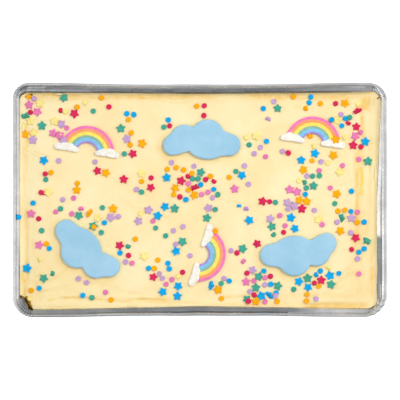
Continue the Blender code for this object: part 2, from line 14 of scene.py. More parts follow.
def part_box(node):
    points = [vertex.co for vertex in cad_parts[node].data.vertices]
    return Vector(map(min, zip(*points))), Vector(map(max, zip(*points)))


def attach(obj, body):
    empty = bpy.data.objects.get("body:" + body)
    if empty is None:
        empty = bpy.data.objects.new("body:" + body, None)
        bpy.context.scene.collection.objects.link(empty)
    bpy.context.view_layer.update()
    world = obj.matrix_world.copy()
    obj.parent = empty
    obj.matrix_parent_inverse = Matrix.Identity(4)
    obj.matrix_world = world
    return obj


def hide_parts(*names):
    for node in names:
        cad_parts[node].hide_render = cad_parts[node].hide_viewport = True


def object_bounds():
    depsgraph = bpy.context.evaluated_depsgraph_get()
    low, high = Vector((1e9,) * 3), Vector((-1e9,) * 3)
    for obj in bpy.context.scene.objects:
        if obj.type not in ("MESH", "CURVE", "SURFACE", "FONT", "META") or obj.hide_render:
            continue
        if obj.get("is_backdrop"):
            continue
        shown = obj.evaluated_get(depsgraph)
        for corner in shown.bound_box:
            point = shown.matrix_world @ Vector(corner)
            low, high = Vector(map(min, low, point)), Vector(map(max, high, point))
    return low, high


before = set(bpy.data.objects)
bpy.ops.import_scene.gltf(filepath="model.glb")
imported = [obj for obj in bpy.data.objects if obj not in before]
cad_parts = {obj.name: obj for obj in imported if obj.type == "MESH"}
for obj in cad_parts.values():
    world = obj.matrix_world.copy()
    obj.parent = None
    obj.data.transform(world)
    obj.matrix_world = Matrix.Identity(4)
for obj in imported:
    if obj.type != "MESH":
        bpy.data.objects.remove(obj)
CAD_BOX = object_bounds()

# A millimetre, and the room between pieces that touch
MM = 0.001
GAP = 0.0003

# Foil tray: its box, the foil, the rolled rim and its section in degrees, the ledge inside it and the wall
# below
TRAY_LOW, TRAY_TOP = (Vector(corner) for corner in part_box("foil_tray"))
TRAY_LENGTH = TRAY_TOP.x - TRAY_LOW.x
TRAY_WIDTH = TRAY_TOP.y - TRAY_LOW.y
TRAY_HEIGHT = TRAY_TOP.z
FOIL = 0.0005
BEAD = 0.0028
BEAD_STEPS = 14
BEAD_START = -80
BEAD_TURN = 245
BEAD_FOLDING = 0.6
LEDGE_START = 0.0334
LEDGE_HEIGHT = 0.0317
LEDGE_INSET = 0.0059
LEDGE_FOLLOW = 0.35
WALL_TAPER = 0.12
WALL_STEPS = 6
WALL_CROWDING = 1.5
CORNER_TAPER = 0.0015
BASIN_CORNERS = (0.0086, 0.0066, 0.0118, 0.0086)
FLOOR_ROUND = 0.0030
FLOOR_CURVE = ((0.7, 0.0), (0.2, 0.3))

# The foil is bent a little out of true. The rim's corners differ, anticlockwise from the one at +X +Y
RIM_CORNERS = (0.0155, 0.0135, 0.0175, 0.0195)

# How far each wall is pushed towards +X or +Y, in mm, at one end, in its middle and at the other end, from
# left to right or from near to far. The push fades over this width, and ends this far from the middle
FAR_WALL = (0.5, -0.5, 0.9)
NEAR_WALL = (-2.0, 1.5, -0.9)
LEFT_WALL = (-1.7, -1.7, -1.7)
RIGHT_WALL = (-1.8, -2.2, 1.9)
PUSH_WIDTH = 0.030
PUSH_END = (0.117, 0.057)

# Folds of the foil in each corner, how deep they are in mm and how that varies, the shape of one fold, how
# dark the shade painted in them is, and the points along the sides between corners
PLEATS = (11, 9, 10, 5)
PLEAT_DEPTHS = (0.45, 0.60, 0.55, 0.50)
PLEAT_SPREAD = (0.4, 1.3)
PLEAT_SHAPE = (-0.8, 0.2, 1, 0.2)
PLEAT_STEPS = len(PLEAT_SHAPE)
PLEAT_PAINTED_SHADE = (0.75, 0.80, 0.70, 0.55)
LONG_SIDE_STEPS = 210
SHORT_SIDE_STEPS = 130
MAX_FOLD = 0.7
FOLD_RISE = 0.8
WALL_FOLDING = 0.45
VALLEY_SHARE = 0.25

# Upright ribs of the walls' outer skin, and dents all round
RIB_REACH = 0.01
RIB_WIDTH = 0.0042
RIB_STRETCH = 12
RIB_DEPTH = 0.00022
RIB_FOLD = 0.8
RIB_RISE = 0.020
INNER_RIBS = 0.3
DENT = 0.30
DENT_SCALE = (45, 60)

# The rolled rim is flattened wider at +X, up to these degrees of the corner at +X +Y
FLAT_BEAD = 0.65
FLAT_END = 30
FLAT_FADE = 60

# The foil leans in at the corner at -X -Y: how far, from how far below the ledge down to what height, from
# which to which share of the corner, and how dark the shade painted on it is
LEAN = 0.0042
LEAN_DROP = 0.0054
LEAN_END = 0.0205
LEAN_START_FADE = 0.14
LEAN_STOP = 0.98
LEAN_STOP_FADE = 0.5
LEAN_PAINTED_SHADE = 0.66

# How far the foil has crept in above the sponge, at -X and at the far side, and over what height
LEFT_EXTRA = 0.0008
FAR_EXTRA = 0.0007
EXTRA_RISE = 0.0050

# The rim bows out near the corners of the long sides: how far, from where and over what length. Then how
# dark the shade and dark reflection painted on the bowed stretches are at the far left, far right and near
# side, and how little of it reaches past this inset
BOW = 0.0012
BOW_START = 0.050
BOW_LENGTH = 0.080
BOW_PAINTED_SHADES = (0.66, 0.10, 0.38)
BOW_INNER = 0.0045
BOW_INNER_SHARE = 0.2

# The ledge between the rolled rim and the wall: how far in, how dark the shade and reflection painted there
# are, and whether it bends with the wall
LEDGE_RINGS = (
    (0.00, 1.00, False),
    (0.16, 0.32, True),
    (0.40, 0.00, True),
    (0.80, 0.02, True),
    (0.94, 0.80, True),
)

# Painted shade and dark reflection: how dark they are on the outer skin, the rolled rim, its sides, and its
# parts at +X and at the near side
OUTER_PAINTED_SHADE = 0.22
BEAD_PAINTED_SHADE = 0.08
BEAD_SIDE_PAINTED_SHADE = 0.45
RIGHT_BEAD = 0.45
NEAR_BEAD = 1.6

# How dark the shade painted along the wall's upper edge is: its rings, its corners, where it darkens towards
# the ends of the sides, and how soon it does at the far side. Then how dark the shade painted on the near
# side is, and where that ends
WALL_PAINTED_SHADE = 0.80
WALL_PAINTED_SHADE_STEPS = 3
WALL_PAINTED_SHADE_CORNERS = (0.0, 0.25, 0.6, 0.25)
PAINTED_SHADE_ENDS = (0.35, 0.75)
FAR_PAINTED_SHADE_START = 0.08
NEAR_PAINTED_SHADE = 0.56
NEAR_PAINTED_SHADE_END = (0.075, 0.035)

# The stretch of the ledge at +X with a dark reflection painted on it: how dark, from where to where, over
# what length it fades, and from which share of the ledge it starts, beyond and within its narrow near end
DARK_REFLECTION = 0.82
DARK_REFLECTION_LEDGE = (-0.088, -0.029)
DARK_REFLECTION_END = 0.004
DARK_REFLECTION_NARROW = -0.072
DARK_REFLECTION_STARTS = (0.1, 0.3)

# Cake: its heights, the softness of the frosting's edge, the radii of its corners for the scatter, how much
# rounder than the foil it is seen there, and the grid of its top
SPONGE_TOP = 0.0200
FROSTING_TOP = 0.0272
FROSTING_SHOULDER = 0.0003
FROSTING_CORNERS = (0.0104, 0.0086, 0.0190, 0.0144)
CORNER_EASE = 0.0006
GRID_ACROSS = 370
GRID_UP = 226
GRID_EVEN = 0.62

# What each point of the frosting's mesh keeps: its place on the grid, how thin it is together with the shade
# painted on it, and how much it is dyed
FROSTING_LAYERS = ("u", "v", "thin_and_shade", "dye")

# The rings below the frosting's edge, as shares of its shoulder down and in. The last one is its foot
SKIRT = ((0.25, 0.4), (0.6, 0.1), (1.0, 0.0), (None, 0.0))
SKIRT_DROP = 0.6

# The corner at -X -Y, where the frosting stops short of the tray: the middle and radius of the round gap,
# and over what width the frosting is drawn in behind it
GAP_MIDDLE = Vector((-0.1580, -0.0960))
GAP_RADIUS = 0.0141
GAP_SOFTNESS = 0.0015

# How far the frosting drops at the far wall and climbs at the others, and over what width
FAR_EDGE_DIP = 0.0012
EDGE_RISE = 0.0006
EDGE_WIDTH = 0.0070

# Slow swells in the frosting: height, wave lengths across and up, shift
SWELLS = (
    (0.00022, 0.190, 0.150, 0.4),
    (0.00016, 0.110, 0.135, 2.1),
)

# Broad sweeps of the palette knife, in mm: middle across and up, turn in degrees, length, width, depth
SWEEPS = (
    (-92, 62, 4, 90, 20, 0.35),
    (20, 72, -3, 150, 18, 0.40),
    (141, 28, 88, 125, 14, 0.65),
    (-20, -4, -7, 170, 22, 0.35),
    (-120, 0, 76, 110, 18, 0.30),
    (-96, -80, 8, 96, 16, 0.50),
    (36, -84, 2, 130, 14, 0.40),
    (118, -72, 28, 80, 20, 0.55),
    (60, 14, -12, 90, 20, 0.30),
)

# Fine knife marks, in mm: middle across and up, turn in degrees, length, width, bend, depth, lip
MARKS = (
    (-60, 88.5, 0.5, 170, 3.6, 0.0, 0.55, 0.20),
    (88, 88.0, -0.5, 120, 4.2, 0.0, 0.60, 0.22),
    (10, 84.0, 1.5, 110, 2.4, 0.0, 0.22, 0.10),
    (139.5, 42, 90, 96, 3.4, 0.0004, 0.70, 0.28),
    (145.5, 10, 88, 120, 2.6, 0.0, 0.40, 0.20),
    (133.5, -20, 84, 70, 3.0, 0.0012, 0.35, 0.16),
    (146.0, -58, 88, 60, 3.6, 0.0, 0.55, 0.25),
    (-149.0, -40, 90, 90, 3.2, 0.0, 0.60, 0.25),
    (-143.0, -20, 86, 70, 2.4, 0.0008, 0.25, 0.12),
    (-100, -84.5, 2.0, 52, 2.4, 0.0, 0.55, 0.22),
    (-45, -87.0, -3.0, 60, 2.6, 0.0, 0.55, 0.22),
    (60, -89.5, 0.5, 150, 3.0, 0.0, 0.45, 0.18),
    (116, -91.8, 0.6, 68, 4.6, 0.0, 1.70, 0.12),
    (-118, -93.2, 0.0, 40, 3.0, 0.0, 0.60, 0.10),
    (-142, 38, -29, 22, 1.0, 0.0, 0.30, 0.16),
    (34, -3, -14, 34, 1.0, 0.0, 0.26, 0.14),
    (-20, 35, 5, 60, 2.2, 0.0010, 0.16, 0.08),
    (-130, -70, 20, 40, 3.0, 0.0100, 0.40, 0.18),
    (-126, -78, 12, 44, 2.6, 0.0080, 0.35, 0.16),
    (-134, -63, 35, 26, 2.4, 0.0160, 0.30, 0.14),
    (124, -62, 48, 52, 3.4, -0.0090, 0.40, 0.18),
    (118, -72, 38, 56, 3.0, -0.0080, 0.36, 0.16),
    (131, -54, 60, 44, 2.6, -0.0100, 0.30, 0.14),
    (106, -80, 20, 50, 2.6, -0.0060, 0.30, 0.14),
    (-70, -78, -16, 50, 3.0, 0.0030, 0.25, 0.12),
    (60, 62, 12, 60, 2.6, -0.0020, 0.18, 0.08),
    (-110, 66, -8, 60, 2.6, 0.0020, 0.20, 0.10),
    (-20, 60, 82, 50, 2.4, 0.0020, 0.15, 0.08),
    (20, -30, -60, 46, 2.2, 0.0040, 0.16, 0.08),
    (-60, -6, -20, 60, 2.4, 0.0020, 0.18, 0.08),
)

# Small unevenness of the frosting: height in mm, how fine it is across and up, and a shift
UNEVENNESS = ((0.25, 90, 120, 0.0), (0.13, 330, 420, 5.0))

# How much flatter the frosting is under a topping, how much shade is painted in a hollow, and how far from
# its middle line a mark or streak still counts, in widths
BED_FLATNESS = 0.85
HOLLOW_PAINTED_SHADE = 0.42
MARK_REACH = 3

# The lip beside a mark, in the mark's widths: how far aside it lies, and its own width
LIP_ASIDE = 1.25
LIP_WIDTH = 0.45

# How quickly a mark and a streak fade in from their ends
MARK_FADE = 2
STREAK_FADE = 2.5

# How high the frosting is smeared up the far wall, the near wall and the two ends, and over what width, the
# same for the corner at +X +Y, how uneven that is, and from where it fades towards the round gap
CLIMBS = ((0.0017, 0.0030), (0.0014, 0.0020), (0.0028, 0.0024))
CORNER_CLIMB = 0.0044
CORNER_CLIMB_WIDTH = 0.022
CLIMB_UNEVENNESS = 0.5
CLIMB_SCALE = 60
CLIMB_STOP = 0.90
CLIMB_FADE = 0.04

# Streaks of darker frosting, partly thin frosting left by the knife and partly painted shadow of the walls
# and ridges, in mm: middle across and up, turn in degrees, length, width, bend, strength
STREAKS = (
    (-60, 88.9, 0, 200, 2.8, 0.0, 0.58),
    (90, 89.2, 0, 150, 2.8, 0.0, 0.62),
    (127, 8, 90, 96, 8.0, 0.0, 0.20),
    (-128, 90.4, 0, 36, 1.1, 0.0, 0.50),
    (-30, 88.0, -1, 90, 0.8, 0.0, 0.40),
    (104, 88.4, -3, 40, 1.2, 0.0, 0.50),
    (60, 91.0, 1, 60, 0.8, 0.0, 0.45),
    (139.5, 70, 94, 46, 1.8, 0.0, 0.50),
    (135.6, 14, 90, 74, 3.0, 0.0, 0.85),
    (135.2, -26.5, 88, 50, 4.2, 0.0, 0.70),
    (146.5, 20, 91, 90, 0.8, 0.0, 0.25),
    (148.0, -62.5, 90, 56, 1.6, 0.0, 0.60),
    (-149.2, 48.5, 90, 60, 1.2, 0.0, 0.35),
    (104, -82.5, 0.5, 80, 3.4, 0.0, 0.34),
    (134, -50, 88, 84, 9.0, 0.0, 0.28),
    (-141, -62, 90, 64, 8.0, 0.0, 0.26),
    (36, -82.6, 0, 40, 1.6, 0.0, 0.45),
    (142.0, -30, 84, 30, 0.8, 0.0020, 0.50),
    (-149.3, -46.4, 90, 96, 1.7, 0.0, 0.42),
    (-150.4, -75.3, 90, 22, 1.9, 0.0, 0.85),
    (-151.6, 30, 90, 90, 0.8, 0.0, 0.30),
    (-94, -84.4, -2.5, 62, 0.9, 0.0, 0.90),
    (-76, -86.4, -4.0, 40, 0.7, 0.0, 0.75),
    (-42, -85.6, -1.5, 34, 0.9, 0.0, 0.90),
    (-24, -88.0, 0, 60, 1.0, 0.0, 0.40),
    (118, -89.6, 0.5, 66, 1.8, 0.0, 0.24),
    (44, -89.8, 0, 90, 1.0, 0.0, 0.15),
    (-136, -79, 18, 14, 0.9, 0.0, 0.45),
    (126, -72, 28, 34, 1.2, -0.0080, 0.28),
    (120, -64, 34, 44, 1.4, -0.0060, 0.22),
    (18, 0.5, -13, 46, 0.8, 0.0, 0.34),
    (-136, 39.6, -19, 16, 0.6, 0.0, 0.55),
    (-62, -2, -32, 26, 0.8, 0.0, 0.30),
    (-38, -11, -18, 30, 0.7, 0.0, 0.34),
    (60, -14, -8, 24, 0.7, 0.0, 0.30),
    (-86, 24, -40, 18, 0.6, 0.0, 0.26),
    (-20, 84.5, -3, 60, 0.7, 0.0, 0.30),
    (-118, -62, 42, 26, 1.2, 0.0060, 0.24),
    (-70, -76, -14, 46, 1.2, 0.0020, 0.22),
    (142.4, 85, 78, 22, 6.0, 0.0, 0.85),
    (137, 89, 5, 18, 1.8, 0.0, 0.55),
    (-150.6, -60, 90, 30, 1.2, 0.0, 0.40),
)

# How far a streak wanders from its line, in mm, how much its strength varies, and how quickly each of them
# changes along the streak and, for the strength, across it
STREAK_WANDER = 1.2
STREAK_BREAKS = 0.8
WANDER_SCALE = 0.06
BREAK_SCALE = (0.15, 0.5)

# Where yellow sugar has bled into the frosting: the same, with a strength of its own
YELLOW_STREAKS = (
    (139.2, 16, 90, 30, 1.3, 0.0, 1.0),
    (142.6, 83, 96, 12, 0.9, 0.0, 0.8),
    (-129, 90.6, 2, 10, 0.8, 0.0, 0.7),
    (-152.8, -66, 90, 9, 0.9, 0.0, 0.9),
    (-128, -86.4, 10, 8, 0.8, 0.0, 0.8),
    (-78.5, -39.8, 0, 4, 0.5, 0.0, 1.0),
    (-27, -84.8, -4, 26, 0.6, 0.0, 0.6),
    (128, 84, 90, 10, 1.2, 0.0, 0.5),
    (-146, 50, 4, 12, 0.7, 0.0, 0.6),
    (-150, 45, 40, 8, 1.0, 0.0, 0.5),
    (24, -84, 2, 8, 0.9, 0.0, 0.5),
    (84, 80, 2, 8, 0.7, 0.0, 0.5),
)

# Fondant clouds, all from one cutter: lobes in mm as middle across and up, half width, half height
CLOUD_LOBES = (
    (-23.9, -4.8, 9.5, 9.5),
    (-14.8, 1.3, 11.6, 11.6),
    (5.2, 3.0, 14.3, 14.3),
    (23.8, -4.6, 9.9, 9.9),
    (5.7, -2.6, 19.2, 14.5),
)
CLOUD_THICKNESS = 0.0031
CLOUD_ROUND = 0.0022
CLOUD_SIDES = 120
CLOUD_RINGS = (0.92, 0.8, 0.66, 0.5, 0.34, 0.18, 0.06)
CLOUD_SWELL = 0.10
CLOUD_SWELL_SCALE = 55
CLOUD_BED = (0.0430, 0.0270)
NOTCH_SOFTNESS = (-5, -2, 0, 2, 5)

# The edges of fondant and sugar: how far they are cut under at the foot, and how flat they are rounded over
UNDERCUT = 0.3 * MM
OVAL_EDGE = 0.6

# A shadow painted on the frosting beside a cloud, shifted to the side away from the key light: which way it
# is shifted, how wide it is, its steps and strength
PAINTED_SHADOW_SHIFT = (0.0030, 0.0022)
PAINTED_SHADOW_WIDTH = 0.0060
PAINTED_SHADOW_STEPS = 6
PAINTED_SHADOW_STRENGTH = 0.40

# Sugar rainbows: the arch with the cut under its edges and how high its side stands, the crown of a band,
# and the bands from the inside out with their widths and colours
ARCH_INNER = 0.0092
ARCH_OUTER = 0.0235
ARCH_CUT = 0.2 * MM
ARCH_SIDE = 0.6
ARCH_THICKNESS = 0.0017
ARCH_STEPS = 56
ARCH_SHARE = 0.96
ARCH_START = 0.02
BAND_CROWN = 0.00020
CROWN_LEVEL = 0.6
CROWN = ((0.06, 0.35), (0.28, 0.9), (0.5, 1.0), (0.72, 0.9), (0.94, 0.35))
BANDS = (
    ("violet", 0.0016, (0.42, 0.27, 0.70)),
    ("sky", 0.0025, (0.24, 0.56, 0.84)),
    ("sage", 0.0025, (0.27, 0.50, 0.38)),
    ("yellow", 0.0027, (0.98, 0.78, 0.14)),
    ("coral", 0.0027, (1.00, 0.37, 0.16)),
    ("rose", 0.0026, (0.90, 0.215, 0.50)),
)

# Its white feet: where they stand, their lobes in mm, and where they are cut straight
FOOT_MIDDLE = (0.0175, 0.0022)
FOOT_LOBES = (
    (6.6, 0.2, 4.2, 3.0),
    (2.6, 1.4, 4.4, 3.9),
    (-2.6, 1.0, 4.2, 3.4),
    (-6.6, -0.4, 4.0, 2.6),
)
FOOT_DROP = 0.0024
FOOT_THICKNESS = 0.0022
FOOT_ROUND = 0.0006
FOOT_ROUND_STEPS = 3
FOOT_SIDES = 64
FOOT_SOFTNESS = (-3, 0, 3)
FOOT_RINGS = (0.85, 0.7, 0.55, 0.4, 0.25, 0.1)
FOOT_DOME = 0.0002
RAINBOW_BED = (0.0400, 0.0280)
RAINBOW_BED_MIDDLE = 0.0105
BED_FADE = 0.5

# Name, kind, middle across and up in mm, turn in degrees
TOPPINGS = (
    ("cloud_top", "cloud", 1.3, 52.0, 0),
    ("cloud_left", "cloud", -99.5, -45.3, 140),
    ("cloud_right", "cloud", 85.6, -46.9, -168),
    ("rainbow_left", "rainbow", -97.5, 40.0, -9),
    ("rainbow_right", "rainbow", 96.7, 48.0, -8),
    ("rainbow_middle", "rainbow", -1.7, -46.3, -108),
)

# Sugar stars and dots: their shape, how deep they lie, how they may lie, and how the seeded scatter tries
STAR_RADIUS = 0.0039
STAR_WAIST = 0.59
STAR_POINTS = 5
STAR_TIP = 0.0005
STAR_CUT = 1.12
DOT_RADIUS = 0.0023
DOT_SIDES = 14
SPRINKLE_THICKNESS = 0.0013
SPRINKLE_SUNK = 0.0009
SPRINKLE_EDGE = 0.00035
DIMPLE_DEPTH = 0.00016
RAISED_LIFT = 0.0011
SIZE_SPREAD = 0.04
SPRINKLE_REACH = {"star": 0.0032, "dot": 0.0023}
TOPPING_CLEARANCE = 0.0011
WALL_CLEARANCE = 0.0010
SMALL_LEAN = 5.0
STEEP_SHARE = 0.07
STEEP_LEAN = (44, 60)
STEEP_FROM = 0.3
STEEP_LIFT = 0.20
SEED = 11
TRIES = 60
WIDENING = 0.7

# Each pinch of sprinkles as it fell: middle across and up and spread in mm, then its stars and its dots
PINCHES = (
    (-146, 79, 10, "pink pink teal lemon", "crimson lilac orange"),
    (-114, 82, 12, "crimson teal", "orange crimson lemon"),
    (-88, 88, 12, "", "lemon crimson teal orange"),
    (-143, 60, 10, "lilac orange teal lemon lemon", "lemon"),
    (-122, 60, 9, "pink lilac lemon", "pink lemon"),
    (-62, 68, 11, "teal", "orange blue orange blue"),
    (-61, 50, 11, "crimson orange lilac", "orange teal"),
    (-85, 29, 7, "crimson orange", "lilac"),
    (-126, 29, 10, "blue", "lilac crimson orange"),
    (-100, 9, 12, "orange", "orange pink"),
    (-138, 12, 16, "lemon", "teal crimson"),
    (-54, 18, 14, "crimson crimson lemon", "orange crimson lilac teal"),
    (-140, -8, 9, "pink", "crimson blue"),
    (-118, -9, 10, "", "pink pink teal lilac"),
    (-101, -14, 8, "orange teal", "pink"),
    (-79, -14, 9, "orange lilac lemon", "blue lilac teal"),
    (-90, -26, 5, "teal", "teal orange"),
    (-135, -36, 11, "pink", "blue teal orange"),
    (-138, -61, 13, "teal blue", "teal lemon"),
    (-140, -82, 8, "", "blue orange lemon"),
    (-96, -72, 13, "", "blue lilac lilac teal"),
    (-82, -82, 9, "", "orange pink"),
    (-68, -54, 9, "", "crimson blue lilac pink"),
    (-62, -36, 8, "crimson", "orange teal"),
    (-46, -18, 11, "lilac blue lilac", "pink teal lemon"),
    (-25, -18, 14, "teal blue", "teal lilac lilac"),
    (-15, -43, 8, "blue teal", "lilac lilac"),
    (-45, -44, 6, "lemon", ""),
    (-37, -59, 11, "crimson", "orange orange blue blue lilac lilac blue"),
    (-26, -77, 13, "blue blue blue", "pink pink lemon"),
    (2, 82, 13, "", "crimson crimson orange"),
    (-28, 66, 6, "", "blue crimson teal"),
    (-25, 26, 8, "blue", "lilac orange orange"),
    (-12, 10, 12, "crimson crimson orange orange", "orange orange crimson crimson blue pink pink"),
    (-6, 23, 9, "teal", "lilac teal orange orange teal"),
    (8, 11, 10, "", "crimson crimson pink teal blue orange blue lilac"),
    (5, -12, 9, "teal lilac", "teal"),
    (34, 17, 13, "pink blue", "lilac teal orange lilac"),
    (50, 46, 14, "lemon", "lilac pink blue lilac teal lemon"),
    (58, 75, 14, "teal", "blue lilac lilac"),
    (92, 85, 16, "", "blue blue orange orange orange"),
    (125, 79, 13, "crimson orange lemon", "crimson lemon"),
    (122, 68, 6, "", "blue blue lilac crimson teal blue"),
    (133, 56, 11, "crimson crimson blue pink", "pink lemon"),
    (93, 37, 12, "blue blue", "lilac lemon"),
    (97, 26, 10, "orange", "orange teal pink lilac"),
    (116, 32, 10, "orange lemon", "pink lemon"),
    (138, 37, 9, "teal", "crimson pink"),
    (95, 15, 7, "teal", "teal teal teal lemon"),
    (84, 0, 9, "orange lilac lilac pink crimson pink orange", "blue lilac"),
    (61, -7, 10, "crimson lilac", "pink teal crimson"),
    (38, -12, 7, "blue", "lilac"),
    (72, -24, 12, "blue teal blue", "pink teal crimson"),
    (39, -40, 13, "teal crimson", "crimson pink lilac"),
    (120, 0, 14, "orange", "orange orange teal blue pink blue"),
    (128, -18, 12, "orange teal lilac", "orange pink lilac lilac blue"),
    (98, -16, 9, "lemon", "pink lilac"),
    (138, -37, 9, "crimson teal", "blue blue crimson"),
    (130, -56, 14, "", "lilac pink blue"),
    (91, -68, 8, "teal blue blue", "blue crimson"),
    (108, -66, 8, "crimson blue teal", "blue lemon"),
    (47, -67, 10, "lilac teal teal pink", "lilac blue pink crimson"),
    (56, -74, 11, "teal blue blue", "crimson blue pink crimson blue"),
    (54, -84, 9, "orange teal", "crimson lilac pink lilac orange"),
    (17, -74, 11, "orange blue", "lilac orange blue teal"),
    (92, -80, 12, "", "teal orange orange orange lilac"),
)

# Sprinkles that lie on or against a topping or the tray, or on edge: kind, hue, middle across and up in mm,
# lift in mm, lean and the way it leans in degrees
STRAYS = (
    ("star", "orange", 116.5, 52.0, 2.3, 7, 0),
    ("dot", "lilac", 71.0, 42.0, 0.3, 7, 0),
    ("dot", "crimson", 76.0, 40.6, 0.9, 7, 0),
    ("dot", "orange", 94.8, 55.0, 0.0, 7, 0),
    ("star", "pink", -120.5, 55.5, 0.6, 7, 0),
    ("star", "lilac", -117.0, 51.2, 1.6, 7, 0),
    ("dot", "orange", 13.0, -26.5, 2.2, 7, 0),
    ("dot", "crimson", -15.0, -62.0, 0.0, 7, 0),
    ("dot", "blue", -155.6, -14.7, 6.4, 27, 90),
    ("dot", "crimson", -133.7, 6.1, -0.4, 78, 0),
    ("dot", "blue", 33.6, -4.4, -0.2, 70, 0),
)

# Dark crust that shows beside the frosting: from here to there, spread, sizes of lumps, depth below the
# frosting's top, all in mm, and how many
CRUST_LINES = (
    (-150.4, -83.8, -147.8, -88.0, 1.3, 0.7, 1.3, 1.0, 45),
    (-147.8, -88.0, -145.2, -93.8, 1.3, 0.7, 1.3, 1.0, 55),
    (-154.0, -84.6, -147.0, -94.0, 2.6, 1.0, 1.5, 0.9, 110),
    (-153.2, -82.7, -152.6, -84.4, 0.5, 0.6, 0.9, 0.8, 16),
    (-146.4, 90.6, -144.2, 90.9, 0.5, 0.5, 0.9, 0.0, 10),
    (-150.6, 89.0, -147.2, 90.2, 0.6, 0.4, 0.7, 0.0, 10),
    (-152.9, 86.6, -152.9, 84.4, 0.4, 0.4, 0.7, 0.1, 7),
    (152.6, 87.2, 153.2, 88.0, 0.4, 0.5, 0.8, -4.5, 8),
    (94.0, 89.8, 97.0, 89.2, 0.5, 0.3, 0.6, 0.2, 9),
)

# The lumps of crust: how uneven they are and how finely, how much lower than that depth they may lie in mm,
# and the room between them and the foil, as a share of their size and in metres
CRUMB_UNEVENNESS = 0.6
CRUMB_SCALE = 1.3
CRUMB_DROP = 0.7
CRUMB_SPARE = 1.2
CRUMB_ROOM = 0.0002

# Smears of frosting on the ledge and wall, in mm: middle across and up, half length, half width. Then how
# high they lie, how thick they are in mm, how uneven and how finely, and how thin their colour is
SMEARS = (
    (-58.5, -91.4, 4.6, 1.3),
    (-152.4, 62.0, 1.3, 3.4),
    (-121.0, 91.2, 3.4, 1.0),
    (151.0, 22.0, 0.9, 5.0),
)
SMEAR_HEIGHT = 0.0283
SMEAR_THICKNESS = 0.9
SMEAR_UNEVENNESS = 0.35
SMEAR_SCALE = 1.7
SMEAR_THIN = 0.05

# Colours of the sugar, as the light part of each
HUES = {
    "crimson": (0.70, 0.025, 0.103),
    "pink": (0.81, 0.21, 0.455),
    "lilac": (0.57, 0.36, 0.62),
    "orange": (1.00, 0.425, 0.003),
    "teal": (0.062, 0.384, 0.283),
    "blue": (0.003, 0.385, 0.80),
    "lemon": (1.00, 0.80, 0.27),
}
CREAM = (0.965, 0.77, 0.40)
CREAM_PALE = (0.985, 0.84, 0.50)
# The colour of thin frosting, also used for the shade and shadows painted on the frosting
CREAM_THIN_AND_SHADE = (0.91, 0.595, 0.165)
CREAM_YELLOW = (0.97, 0.66, 0.10)
FONDANT = (0.305, 0.565, 0.745)
FONDANT_PALE = (0.38, 0.635, 0.81)
WHITE_SUGAR = (0.93, 0.89, 0.80)
CRUST = (0.30, 0.125, 0.007)
CRUMB = (0.50, 0.26, 0.035)
FOIL_LIGHT = (0.93, 0.935, 0.94)
FOIL_DARK = (0.71, 0.72, 0.74)
# The dark painted into the foil as shade and dark reflection in its folds, on its rim, ledge and walls
FOIL_PAINTED_SHADE = (0.09, 0.105, 0.118)

# How surfaces are mottled: how fine their patches and their grain are, their roughness and how it varies,
# and the height of the relief
SUGAR_FINISH = (330.0, 5200.0, 0.55, 0.25, 0.00006)
FONDANT_FINISH = (42.0, 1500.0, 0.52, 0.16, 0.00005)
FROSTING_FINISH = (26.0, 900.0, 0.44, 0.14, 0.00016)
CRUST_FINISH = (420.0, 2600.0, 0.85, 0.2, 0.0005)

# The mottle: the detail and roughness of its patches and of its grain, between which values of the patches
# its colour changes, and how much the grain adds to its height
PATCH_NOISE = (3.0, 0.55)
GRAIN_NOISE = (2.0, 0.6)
PATCH_TONES = (0.35, 0.65)
GRAIN_HEIGHT = 0.35

# What makes thin frosting ragged: scale, detail and roughness, and which values go to which strengths
RAGGED_NOISE = (160.0, 4.0, 0.6)
RAGGED_RANGE = (0.32, 0.62, 0.45, 1.1)

# The foil's duller patches: scale, detail and roughness, between which values its colour changes, and which
# values go to which roughness. Then its crinkles' scale, what they add to the relief, and the relief
FOIL_NOISE = (60.0, 5.0, 0.62)
FOIL_STRETCH = (1.0, 1.0, 0.5)
FOIL_TONES = (0.34, 0.66)
FOIL_SHINE = (0.3, 0.7, 0.36, 0.16)
CRINKLE_SCALE = 230.0
CRINKLE_SHARE = 0.25
CRINKLE_STRENGTH = 0.8
CRINKLE_HEIGHT = 0.0003

# How much lighter and darker than its colour sugar gets
SUGAR_SHADES = (1.08, 0.90)

# The camera, straight above, and the width that it sees at the height of the rim
CAMERA_HEIGHT = 1.20
FRAME_WIDTH = 0.3417
SENSOR = 36.0

# The surround, from behind the camera's stand at the near side to the far side: where along the way, and
# how bright
SURROUND = (
    (0.10, (0.125, 0.135, 0.15)),
    (0.26, (0.88, 0.88, 0.88)),
    (0.86, (0.84, 0.84, 0.84)),
    (0.955, (0.33, 0.335, 0.34)),
)
SURROUND_STRENGTH = 0.78

# From where to where it gets brighter towards both ends
BRIGHT_ENDS = (0.72, 0.90)

# How bright the surround is at the horizon and below it, where only the foil's reflections show it, and how
# far up
HORIZON_LIGHT = 1.0
HORIZON_BAND = 0.35

# Soft lamps: name, place, size, power and whether the foil's reflections show them
LAMPS = (
    ("key", (0.75, 0.60, 1.30), 0.60, 11.2, False),
    ("fill", (-0.8, -0.5, 1.3), 1.2, 3.0, True),
)

# The white floor: half its width, and how much it glows
FLOOR_SIZE = 6.0
FLOOR_GLOW = 0.60

Sprinkle = collections.namedtuple("Sprinkle", "kind hue x y turn lean lean_turn raised")
TrayRing = collections.namedtuple("TrayRing", "inset height radii folding in_basin crease ribs")


def as_mesh(name, bm):
    mesh = bpy.data.meshes.new(name)
    bm.to_mesh(mesh)
    bm.free()
    return mesh


